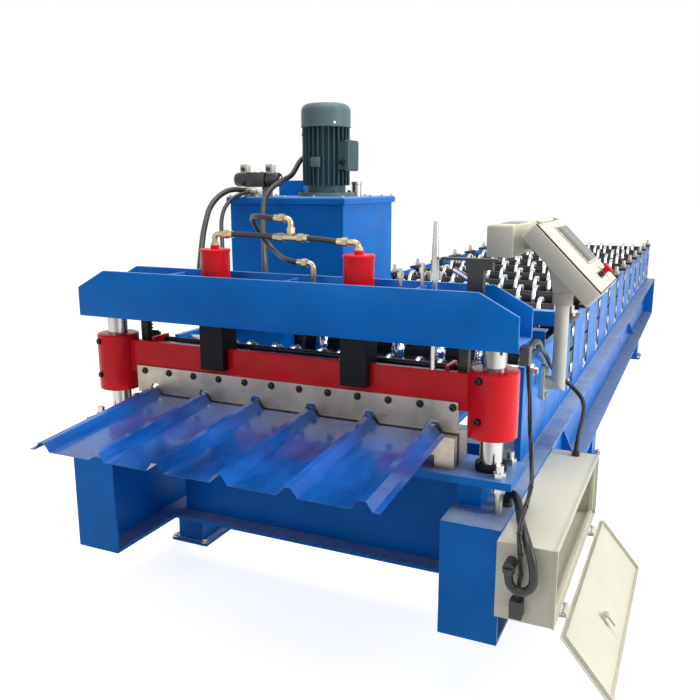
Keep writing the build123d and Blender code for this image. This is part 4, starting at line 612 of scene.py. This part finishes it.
def cable_bundle():
    """Three thin cables laid round each other into one bundle, held by ties."""
    line = line_points(BUNDLE)
    bm = bmesh.new()
    walked = 0.0
    rings = []
    for i, spot in enumerate(line):
        ahead = line[min(i + 1, len(line) - 1)] - line[max(i - 1, 0)]
        walked += (spot - line[i - 1]).length if i else 0.0
        turn = ahead.to_track_quat("Z", "Y").to_matrix().to_4x4()
        rings.append(Matrix.Translation(spot) @ turn @ Matrix.Rotation(walked * 9.0, 4, "Z"))
    for strand in range(3):
        shift = Matrix.Rotation(2 * math.pi * strand / 3, 4, "Z") @ Matrix.Translation((3.7 * MM, 0, 0))
        hoop = None
        for ring in rings:
            made = bmesh.ops.create_circle(bm, segments=8, radius=3.3 * MM, matrix=ring @ shift)["verts"]
            rim = list(edges_of(made))
            if hoop:
                bmesh.ops.bridge_loops(bm, edges=hoop + rim)
            else:
                bmesh.ops.contextual_create(bm, geom=rim)
            hoop = rim
        bmesh.ops.contextual_create(bm, geom=hoop)
    made = piece("cable_bundle", bm, "frame", "rubber_hose", CABLE)
    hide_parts("cabinet_cables")
    bm = bmesh.new()
    for share in (0.08, 0.2, 0.32, 0.45, 0.58, 0.71, 0.8, 0.9):
        ring = rings[int(share * (len(rings) - 1))]
        bmesh.ops.create_cone(bm, cap_ends=True, segments=16, radius1=7.6 * MM, radius2=7.6 * MM,
                              depth=4 * MM, matrix=ring)
    ties = piece("bundle_ties", bm, "frame", "black_plastic", BLACK_PLASTIC)


for name, node, diameter, points in HOSES:
    hose(name, node, points, diameter, HOSE if node != "console_cable" else CABLE)
cable_bundle()


# Rolls: black spacer tube with chrome rings on a steel shaft, each turned as one shape.

def band(x, half):
    """Both flanks of a ring from its right half, given as (offset, radius) from its middle."""
    return [(x - dx, r) for dx, r in reversed(half)] + [(x + dx, r) for dx, r in half]


def roll_profile(bands, left, right):
    """Whole roll: journals, tube and rings."""
    shaft, tube, ease_by = SHAFT_RADIUS, TUBE_RADIUS, 2
    start = [(-left, 0), (-left, shaft - ease_by), (-left + ease_by, shaft), (-TUBE_HALF, shaft),
             (-TUBE_HALF, tube - ease_by), (-TUBE_HALF + ease_by, tube)]
    return start + bands + [(TUBE_HALF - ease_by, tube), (TUBE_HALF, tube - ease_by),
                            (TUBE_HALF, shaft), (right - ease_by, shaft),
                            (right, shaft - ease_by), (right, 0)]


def rolls():
    """Upper and lower rolls; the ribs that the lower ones press grow towards the shear."""
    upper_ring = [(7, RING_RADIUS), (9.2, 79.2), (10.6, 77.4), (11, 75.5), (11, TUBE_RADIUS)]
    for stand, y in enumerate(STAND_Y):
        rise = MALE_RISE * (STANDS - 1 - stand) / (STANDS - 1)
        lower_ring = [(31, RING_RADIUS), (32.4, 79.3), (33, 77.5), (33, TUBE_RADIUS)]
        if rise:
            rib = [(6.5, RING_RADIUS + rise), (8.5, RING_RADIUS - 1 + rise), (27, 80.4)]
            lower_ring = rib + lower_ring
        upper, lower = [], []
        for x in RIB_X:
            upper += band(x - RING_GAP, upper_ring) + band(x + RING_GAP, upper_ring)
            lower += band(x, lower_ring)
        for kind, z, bands, left in (("upper", UPPER_Z, upper, SHAFT_FLUSH),
                                     ("lower", LOWER_Z, lower, SHAFT_LEFT)):
            bm = bmesh.new()
            turned(bm, roll_profile(bands, left, SHAFT_FLUSH), (0, y, z), 36,
                   ((49, 1), (26, 0), (-1, 2)))
            if kind == "lower":
                cog(bm, CHAIN_X, y, z, 14, SPROCKET_RADIUS, 7, SPROCKET_TEETH, 3)
                round_bar(bm, (CHAIN_X + 7, y, z), (-703, y, z), 34, 24, material=3, edge=2)
            name = f"{kind}_roll_{stand + 1:02d}"
            made = piece(f"{name}_turned", bm, name, "roll_steel", TUBE_BLACK, RING_CHROME,
                         BRIGHT_STEEL, CHAIN_STEEL)
            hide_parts(name)


def hold_down_roller():
    """Thin roller with rounded chrome rings, before the first stand."""
    ring = [(4, 46), (7.5, 45.1), (10.3, 42.6), (11.6, 39.8), (12, 37), (12, ROLLER_RADIUS)]
    bands = []
    for x in RIB_X:
        bands += band(x - ROLLER_GAP, ring) + band(x + ROLLER_GAP, ring)
    line = [(-SHAFT_FLUSH, 0), (-SHAFT_FLUSH, ROLLER_SHAFT), (-TUBE_HALF, ROLLER_SHAFT),
            (-TUBE_HALF, ROLLER_RADIUS)]
    line += bands + [(TUBE_HALF, ROLLER_RADIUS), (TUBE_HALF, ROLLER_SHAFT),
                     (SHAFT_FLUSH, ROLLER_SHAFT), (SHAFT_FLUSH, 0)]
    bm = bmesh.new()
    turned(bm, line, ROLLER_AT, 32, ((28, 1), (16, 0), (-1, 2)))
    made = piece("hold_down_roller", bm, "outfeed_roller", "roll_steel", TUBE_BLACK, RING_CHROME,
                 BRIGHT_STEEL)
    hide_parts("outfeed_roller")


def chain_links():
    """Roller chain round the sprockets: inner and outer links by turns, with their rollers."""
    first, last = DRIVE_Y, STAND_Y[-1]
    reach = SPROCKET_RADIUS + 8.6
    straight, turn = last - first, math.pi * reach
    count = int((2 * straight + 2 * turn) / LINK / 2) * 2
    step = (2 * straight + 2 * turn) / count

    def spot(along):
        along %= 2 * (straight + turn)
        if along < straight:
            return Vector((CHAIN_X, first + along, LOWER_Z + reach))
        along -= straight
        if along < turn:
            angle = math.pi / 2 - along / reach
            return Vector((CHAIN_X, last + reach * math.cos(angle), LOWER_Z + reach * math.sin(angle)))
        along -= turn
        if along < straight:
            return Vector((CHAIN_X, last - along, LOWER_Z - reach))
        angle = -math.pi / 2 - (along - straight) / reach
        return Vector((CHAIN_X, first + reach * math.cos(angle), LOWER_Z + reach * math.sin(angle)))

    bm = bmesh.new()
    for i in range(count):
        a, b = spot(i * step), spot((i + 1) * step)
        along = (b - a).normalized()
        turned_to = Matrix.Translation((a + b) / 2) @ along.to_track_quat("Y", "X").to_matrix().to_4x4()
        place = WORLD @ turned_to
        side = 8.4 if i % 2 else 6.4
        for x in (-side, side):
            slab(bm, (x - 0.8, -13, -6.5), (x + 0.8, 13, 6.5), place=place)
        round_bar(bm, a - Vector((5.4, 0, 0)), a + Vector((5.4, 0, 0)), 5.8, 8, material=1)
    made = piece("chain_links", bm, "frame", "dark_steel", CHAIN_STEEL, BRIGHT_STEEL)
    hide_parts("drive_chain")


# Shear

def top_beam():
    """Welded box beam with eased edges and weld beads along its ribs and seats."""
    half = TOP_HALF
    outline = [(-half, TOP_Z), (-half, TOP_SHOULDER), (-TOP_FLAT, TOP_TOP), (TOP_FLAT, TOP_TOP),
               (half, TOP_SHOULDER), (half, TOP_Z)]
    bm = bmesh.new()
    inner = (TOP_FRONT + TOP_PLATE, TOP_REAR - TOP_PLATE)
    for y in (TOP_FRONT, inner[1]):
        plate(bm, [(x, y, z) for x, z in outline], (0, TOP_PLATE, 0), 1.6)
    slab(bm, (-half, inner[0], TOP_Z + 0.5), (half, inner[1], TOP_Z + 12), 0.8)
    for x in TOP_RIBS:
        slab(bm, (x - 6, inner[0], TOP_Z + 12), (x + 6, inner[1], TOP_Z + 150), 1.4)
        for side in (-6, 6):
            for y in inner:
                bead(bm, (x + side, y, TOP_Z + 14), (x + side, y, TOP_Z + 146))
    for x in (-RAM_X, RAM_X):
        slab(bm, (x - SEAT_HALF, inner[0], SEAT_LOW), (x + SEAT_HALF, inner[1], SEAT_HIGH), 1.2)
        for y in inner:
            bead(bm, (x - SEAT_HALF, y, SEAT_HIGH), (x + SEAT_HALF, y, SEAT_HIGH))
    for y in inner:
        bead(bm, (-half + 2, y, TOP_Z + 12), (half - 2, y, TOP_Z + 12), 3.0)
    made = piece("top_beam_welded", bm, "frame", "machine_blue", BLUE)
    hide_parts("top_beam")


def moving_beam_dress():
    """Set screws in the guide sleeves, wiper rings and the weld beads of the moving beam."""
    bm = bmesh.new()
    angle = math.radians(SLEEVE_BOLT_ANGLE)
    out = Vector((math.cos(angle), math.sin(angle), 0))
    for x in (-POST_X, POST_X):
        for z in SLEEVE_BOLT_Z:
            face = Vector((x, SHEAR_Y, z)) + out * (SLEEVE_RADIUS - 1.5)
            bolt(bm, face, out, 19, 8, 12.5, socket=True)
    made = piece("sleeve_screws", bm, "shear", "dark_steel", BLACK_IRON, RAM_BLACK)
    bm = bmesh.new()
    for side in (-1, 1):
        foot = side * (POST_X - SLEEVE_RADIUS + 2)
        for y in (1, 25):
            bead(bm, (foot, y, 837), (foot, y, 947), 4.5)
        for low, high in ((963.5, 969), (769, 774.5)):
            x = side * POST_X
            round_bar(bm, (x, SHEAR_Y, low), (x, SHEAR_Y, high), SLEEVE_RADIUS - 3, 64, edge=1.5)
    slab(bm, (-604, 0.8, 945), (604, 25.2, 949.8), 1.2)
    return piece("moving_beam_welds", bm, "shear", "shear_red", RED), made


def blade_screws():
    """Row of countersunk cap screws along the top of the blade."""
    bm = bmesh.new()
    for x in BLADE_BOLTS:
        bolt(bm, (x, BLADE_FACE + 0.4, BLADE_BOLT_Z), (0, -1, 0), 18, 5.5, 12, socket=True)
    return piece("blade_screws", bm, "shear", "dark_steel", BLACK_IRON, RAM_BLACK)


def post_feet():
    """Black clamp collars at the feet of the guide posts and their nuts on the bed plate."""
    bm = bmesh.new()
    for x in (-POST_X, POST_X):
        round_bar(bm, (x, SHEAR_Y, 666), (x, SHEAR_Y, 688), 47, 40, edge=3)
        for turn in range(4):
            angle = math.radians(45 + 90 * turn)
            spot = (x + 41 * math.cos(angle), SHEAR_Y + 41 * math.sin(angle), 688)
            bolt(bm, spot, (0, 0, 1), 10, 4, socket=True)
    return piece("post_feet", bm, "frame", "dark_steel", RAM_BLACK, BLACK_IRON)


def bed_welds():
    """Weld beads of the bed plate's packers, die holder and rest."""
    bm = bmesh.new()
    for side in (-1, 1):
        for y in (-47, 73):
            bead(bm, (side * 640 - 34, y, 562), (side * 640 + 34, y, 562), 4)
    bead(bm, (-588, 92.5, 668), (588, 92.5, 668), 4)
    return piece("bed_welds", bm, "frame", "machine_blue", BLUE)


# Hydraulic unit

def motor_dress():
    """Fan cowl grille, cowl screws, lifting eye, blank rating plate and cable gland of the motor."""
    x, y = MOTOR_AT
    bm = bmesh.new()
    for turn in range(12):
        angle = math.radians(30 * turn)
        out = Vector((math.cos(angle), math.sin(angle), 0))
        start = Vector((x, y, MOTOR_TOP + 0.2)) + out * 22
        round_bar(bm, start, start + out * 40, 2.4, 6, material=1)
    for turn in range(4):
        angle = math.radians(45 + 90 * turn)
        out = Vector((math.cos(angle), math.sin(angle), 0))
        bolt(bm, Vector((x, y, COWL_LOW + 12)) + out * 105.6, out, 9, 4, 6.5)
    round_bar(bm, (x, y, COWL_LOW - 3), (x, y, COWL_LOW + 4), 107.5, 56, material=2, edge=1.5)
    slab(bm, (x - 22, y - 106, 1560), (x + 22, y - 101.5, 1600), 1.0, material=2)
    bolt(bm, (x + 122, y - 30, 1600), (1, 0, 0), 8, 3, 5)
    bolt(bm, (x + 122, y + 30, 1600), (1, 0, 0), 8, 3, 5)
    round_bar(bm, (x + 106, y - 78, 1580), (x + 106, y - 55, 1580), 11, 24, material=1, edge=2)
    round_bar(bm, (x - 86, y, 1700), (x - 116, y, 1700), 7, 20, material=2, edge=2)
    return piece("motor_dress", bm, "frame", "motor_grey", BRIGHT_STEEL, RAM_BLACK, COWL_GREEN)


def valve():
    """Solenoid valve on its manifold: two rounded coils, valve body, pale plugs with their screws."""
    x, y = VALVE_AT
    bm = bmesh.new()
    slab(bm, (x - 45, y - 45, LID_TOP), (x + 45, y + 45, LID_TOP + 40), 2, material=2)
    slab(bm, (x - 44, y - 30, LID_TOP + 40), (x + 44, y + 30, LID_TOP + 100), 2.5)
    for side in (-1, 1):
        a, b = (x + side * 44, y, COIL_Z), (x + side * 107, y, COIL_Z)
        round_bar(bm, a, b, 29.5, 40, edge=9)
        round_bar(bm, b, (x + side * 114.5, y, COIL_Z), 13, 24, material=3, edge=3)
        plug = x + side * 62
        slab(bm, (plug - 17, y - 17, 1531), (plug + 17, y + 17, 1571), 4, material=1)
        slab(bm, (plug - 19, y - 19, 1528), (plug + 19, y + 19, 1532.5), 1)
        round_bar(bm, (plug, y, 1571), (plug, y, 1573.5), 6, 20, material=3, edge=1)
        round_bar(bm, (plug, y - 16, 1552), (plug, y - 29, 1552), 8, 20, edge=2)
    for dx in (-32, 32):
        for dy in (-22, 22):
            bolt(bm, (x + dx, y + dy, LID_TOP + 100), (0, 0, 1), 10, 4, material=2)
    for px in (x - 33, x - 6):
        round_bar(bm, (px, y - 44, 1460), (px, y - 47.5, 1460), 15, 6, material=3, edge=1)
    round_bar(bm, (x + 24, y - 44, 1458), (x + 24, y - 46.5, 1458), 11, 24, material=3, edge=1)
    made = piece("valve", bm, "frame", "black_plastic", BLACK_PLASTIC, CREAM, ZINC, BRIGHT_STEEL)
    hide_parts("valve_stack")


def lid_dress():
    """Bolts round the tank's lid, breather on the filler cap and the level gauge on its side."""
    bm = bmesh.new()
    for x in (-640, -510, -378, -246, -116):
        for y in (699, 1226):
            bolt(bm, (x, y, LID_TOP - 0.3), (0, 0, 1), 11, 5, 8)
    for y in (830, 962, 1095):
        for x in (-646, -110):
            bolt(bm, (x, y, LID_TOP - 0.3), (0, 0, 1), 11, 5, 8)
    round_bar(bm, (-235, 1100, 1486), (-235, 1100, 1499.5), 24, 32, edge=4)
    slab(bm, (-600, 1225, 1080), (-576, 1232, 1300), 3, material=1)
    slab(bm, (-595, 1231.5, 1096), (-581, 1233.5, 1284), 1, material=2)
    return piece("lid_dress", bm, "frame", "bright_steel", ZINC, BLACK_PLASTIC, SCREEN)


# Console and cabinet

def console():
    """Slanted box with its lid, framed screen, push buttons and stop button, on its neck."""
    bm = bmesh.new()
    slab(bm, (-161, -225, -66), (161, 225, -3.5), 2.5, place=PANEL, upright=12)
    slab(bm, (-156, -220, -4), (156, 220, 0), 0, 3, PANEL)
    slab(bm, (-152, -216, -0.5), (152, 216, 3), 1.2, place=PANEL, upright=5)
    slab(bm, (-125, -30, 2.5), (52, 180, 7.5), 1.6, 1, PANEL, upright=4)
    slab(bm, (-117, -22, 7.2), (44, 172, 8.4), 0.4, 2, PANEL)
    for x, y, colour in ((106, -30, 3), (106, 24, 3)):
        round_bar(bm, (x, y, 2.5), (x, y, 6), 15, 32, material=4, edge=1, place=PANEL)
        round_bar(bm, (x, y, 6), (x, y, 12), 11.5, 32, material=colour, edge=2, place=PANEL)
    round_bar(bm, (104, 95, 2.5), (104, 95, 6), 20, 32, material=4, edge=1, place=PANEL)
    round_bar(bm, (104, 95, 6), (104, 95, 22), 11, 32, material=5, place=PANEL)
    round_bar(bm, (104, 95, 20), (104, 95, 31.5), 22, 40, material=5, edge=5, place=PANEL)
    for y in (-150, 150):
        round_bar(bm, (-163, y - 24, -1), (-163, y + 24, -1), 4, 16, place=PANEL)
    round_bar(bm, (161, 0, -22), (166, 0, -22), 9, 24, material=4, edge=1, place=PANEL)
    x, y = POLE_AT
    neck = [(x - 32, y - 32, 1111), (x + 32, y - 32, 1111), (838, y - 32, 1119.9), (690, y - 32, 1267.9)]
    plate(bm, neck, (0, 64, 0), 1.5, 1)
    round_bar(bm, (x, y, 1066), (x, y, 1112), 36, 40, material=1, edge=2)
    slab(bm, (617, y - 32, 1262), (745, y + 32, 1320), 1.5, 1)
    slab(bm, (527, 479, 1245), (617, 929, 1350), 2.5)
    slab(bm, (531, 483, 1349), (613, 925, 1353), 1.2)
    slab(bm, (541, 620, 1352.5), (603, 790, 1354.2), 0.8, 2)
    for spot in (520, 888):
        bolt(bm, (527, spot, 1297), (-1, 0, 0), 9, 3, 6, material=4)
    made = piece("console", bm, "console", "cream_paint", CREAM, CREAM_GREY, SCREEN, RAM_BLACK,
                 ZINC, STOP_RED)
    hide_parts("console_box")


def cabinet_dress():
    """Folded return round the cabinet's opening, drip fold over it and its wall brackets."""
    (x0, y0, z0), (x1, y1, z1) = CABINET_LOW, CABINET_HIGH
    bm = bmesh.new()
    for low, high in (((x1 - 24, y0 + 3, z1 - 16), (x1 - 10, y1 - 3, z1 - 3)),
                      ((x1 - 24, y0 + 3, z0 + 3), (x1 - 10, y1 - 3, z0 + 15)),
                      ((x1 - 24, y0 + 3, z0 + 3), (x1 - 10, y0 + 16, z1 - 3)),
                      ((x1 - 24, y1 - 16, z0 + 3), (x1 - 10, y1 - 3, z1 - 3))):
        slab(bm, low, high, 1.0)
    slab(bm, (x0 + 4, y0 + 30, z0 + 25), (x0 + 8, y1 - 30, z1 - 25), 1, material=1)
    for y in (y0 + 60, y1 - 60):
        for z in (z0 + 45, z1 - 45):
            bolt(bm, (x0 + 8, y, z), (1, 0, 0), 10, 4, 7, material=1)
    for y in (y0 + 2, y1 - 2):
        bead(bm, (x0 + 2, y, z1 - 0.5), (x1 - 8, y, z1 - 0.5), 1.5)
    return piece("cabinet_dress", bm, "frame", "cream_paint", CREAM, ZINC)


def door_dress():
    """Rubber seal inside the door's rim, its stiffener and the lock's insert."""
    bm = bmesh.new()
    low, high = 6, 208
    for a, b in (((-2, -196, low + 24), (-0.6, 596, low + 34)), ((-2, -196, high - 10), (-0.6, 596, high)),
                 ((-2, -196, low + 24), (-0.6, -186, high)), ((-2, 586, low + 24), (-0.6, 596, high))):
        slab(bm, a, b, 0.4, 1, DOOR)
    round_bar(bm, (-21.5, 96, 127), (-27, 96, 127), 6.5, 6, material=0, edge=1, place=DOOR)
    slab(bm, (-23, 88, 127), (-19, 104, 166), 1, place=DOOR)
    round_bar(bm, (8, 96, 127), (10.5, 96, 127), 14, 32, edge=1, place=DOOR)
    return piece("door_dress", bm, "door", "cream_paint", ZINC, CREAM_GREY)


# Rest of the plant

def drive_dress():
    """Cooling fins, end bell, terminal box and gear case bolts of the roll drive."""
    bm = bmesh.new()
    for turn in range(24):
        angle = math.radians(15 * turn)
        if math.sin(angle) < -0.8:
            continue
        place = (WORLD @ Matrix.Translation((0, DRIVE_Y, DRIVE_Z)) @ Matrix.Rotation(angle, 4, "X"))
        slab(bm, (-380, 84, -2), (-20, 97, 2), 0.8, place=place)
    round_bar(bm, (-410, DRIVE_Y, DRIVE_Z), (-384, DRIVE_Y, DRIVE_Z), 97, 48, edge=3)
    round_bar(bm, (-18, DRIVE_Y, DRIVE_Z), (58, DRIVE_Y, DRIVE_Z), 99, 48, edge=14, material=1)
    slab(bm, (-290, DRIVE_Y - 45, 706), (-180, DRIVE_Y + 45, 748), 4)
    for y in (DRIVE_Y - 60, DRIVE_Y + 60):
        for z in (540, 725):
            bolt(bm, (-560, y, z), (-1, 0, 0), 15, 8, 11, material=2)
            bolt(bm, (-410, y, z), (1, 0, 0), 15, 8, 11, material=2)
    return piece("drive_dress", bm, "frame", "motor_grey", MOTOR_GREEN, COWL_GREEN, ZINC)


def frame_dress():
    """Anchor bolts in the feet, weld beads at the legs and under the stand walls."""
    bm = bmesh.new()
    for side in (-1, 1):
        for y in LEG_Y:
            for dx in (-74, 74):
                for dy in (-82, 82):
                    bolt(bm, (side * BEAM_X + dx, y + dy, 16), (0, 0, 1), 19, 11, 15, material=1)
            for dx in (-60, 60):
                bead(bm, (side * BEAM_X + dx, y - 75, LEG_TOP), (side * BEAM_X + dx, y + 75, LEG_TOP), 4)
        for x in (side * WALL_X, side * BEAM_X):
            bead(bm, (x, WALL_ENDS[0], BEAM_TOP), (x, WALL_ENDS[1], BEAM_TOP), 4)
    return piece("frame_dress", bm, "frame", "machine_blue", DEEP_BLUE, ZINC)


rolls()
hold_down_roller()
chain_links()
top_beam()
moving_beam_dress()
blade_screws()
post_feet()
bed_welds()
motor_dress()
valve()
lid_dress()
console()
cabinet_dress()
door_dress()
drive_dress()
frame_dress()


# Floor, light and camera

def floor():
    """Pale floor that keeps the machine's shadow and is white to the camera in the open."""
    bm = bmesh.new()
    bmesh.ops.create_grid(bm, x_segments=1, y_segments=1, size=60.0)
    mesh = bpy.data.meshes.new("floor")
    bm.to_mesh(mesh)
    bm.free()
    material, nodes, links, shader = graph("floor_white")
    shader.inputs["Base Color"].default_value = (0.72, 0.72, 0.72, 1.0)
    shader.inputs["Roughness"].default_value = 0.9
    shader.inputs["Emission Color"].default_value = (1.0, 1.0, 1.0, 1.0)
    path = nodes.new("ShaderNodeLightPath")
    seen = add(nodes, "ShaderNodeMath", operation="MAXIMUM")
    links.new(path.outputs["Is Camera Ray"], seen.inputs[0])
    links.new(path.outputs["Is Glossy Ray"], seen.inputs[1])
    lift = add(nodes, "ShaderNodeMath", operation="MULTIPLY")
    lift.inputs[1].default_value = 0.82
    links.new(seen.outputs["Value"], lift.inputs[0])
    links.new(lift.outputs["Value"], shader.inputs["Emission Strength"])
    mesh.materials.append(material)
    made = bpy.data.objects.new("floor", mesh)
    bpy.context.collection.objects.link(made)


def world():
    """Soft room light, seen as white."""
    made = bpy.data.worlds.new("room")
    bpy.context.scene.world = made
    made.use_nodes = True
    nodes, links = made.node_tree.nodes, made.node_tree.links
    nodes.clear()
    path = nodes.new("ShaderNodeLightPath")
    sharp = add(nodes, "ShaderNodeMath", operation="MAXIMUM")
    links.new(path.outputs["Is Glossy Ray"], sharp.inputs[0])
    links.new(path.outputs["Is Transmission Ray"], sharp.inputs[1])
    shows = add(nodes, "ShaderNodeMath", operation="MAXIMUM")
    links.new(path.outputs["Is Camera Ray"], shows.inputs[0])
    links.new(sharp.outputs["Value"], shows.inputs[1])
    seen = add(nodes, "ShaderNodeBackground", Color=(1.0, 1.0, 1.0, 1.0), Strength=1.0)
    light = add(nodes, "ShaderNodeBackground", Color=(0.95, 0.97, 1.0, 1.0), Strength=0.20)
    mix = nodes.new("ShaderNodeMixShader")
    out = nodes.new("ShaderNodeOutputWorld")
    links.new(shows.outputs["Value"], mix.inputs["Fac"])
    links.new(light.outputs["Background"], mix.inputs[1])
    links.new(seen.outputs["Background"], mix.inputs[2])
    links.new(mix.outputs["Shader"], out.inputs["Surface"])


def lamp(name, spot, aim, size, power):
    """Large soft lamp."""
    data = bpy.data.lights.new(name, "AREA")
    data.shape = "DISK"
    data.size = size
    data.energy = power
    made = bpy.data.objects.new(name, data)
    made.location = at(*spot)
    made.rotation_euler = (at(*aim) - at(*spot)).to_track_quat("-Z", "Y").to_euler()
    bpy.context.collection.objects.link(made)


floor()
world()
lamp("roof_light", (600, 1200, 6500), (0, 1800, 600), 5.0, 325.0)
lamp("side_light", (6500, 600, 3200), (400, 2000, 700), 4.0, 315.0)
lamp("front_light", (-1500, -5200, 3600), (0, 0, 800), 3.5, 60.0)
bpy.context.scene.view_settings.view_transform = "Standard"
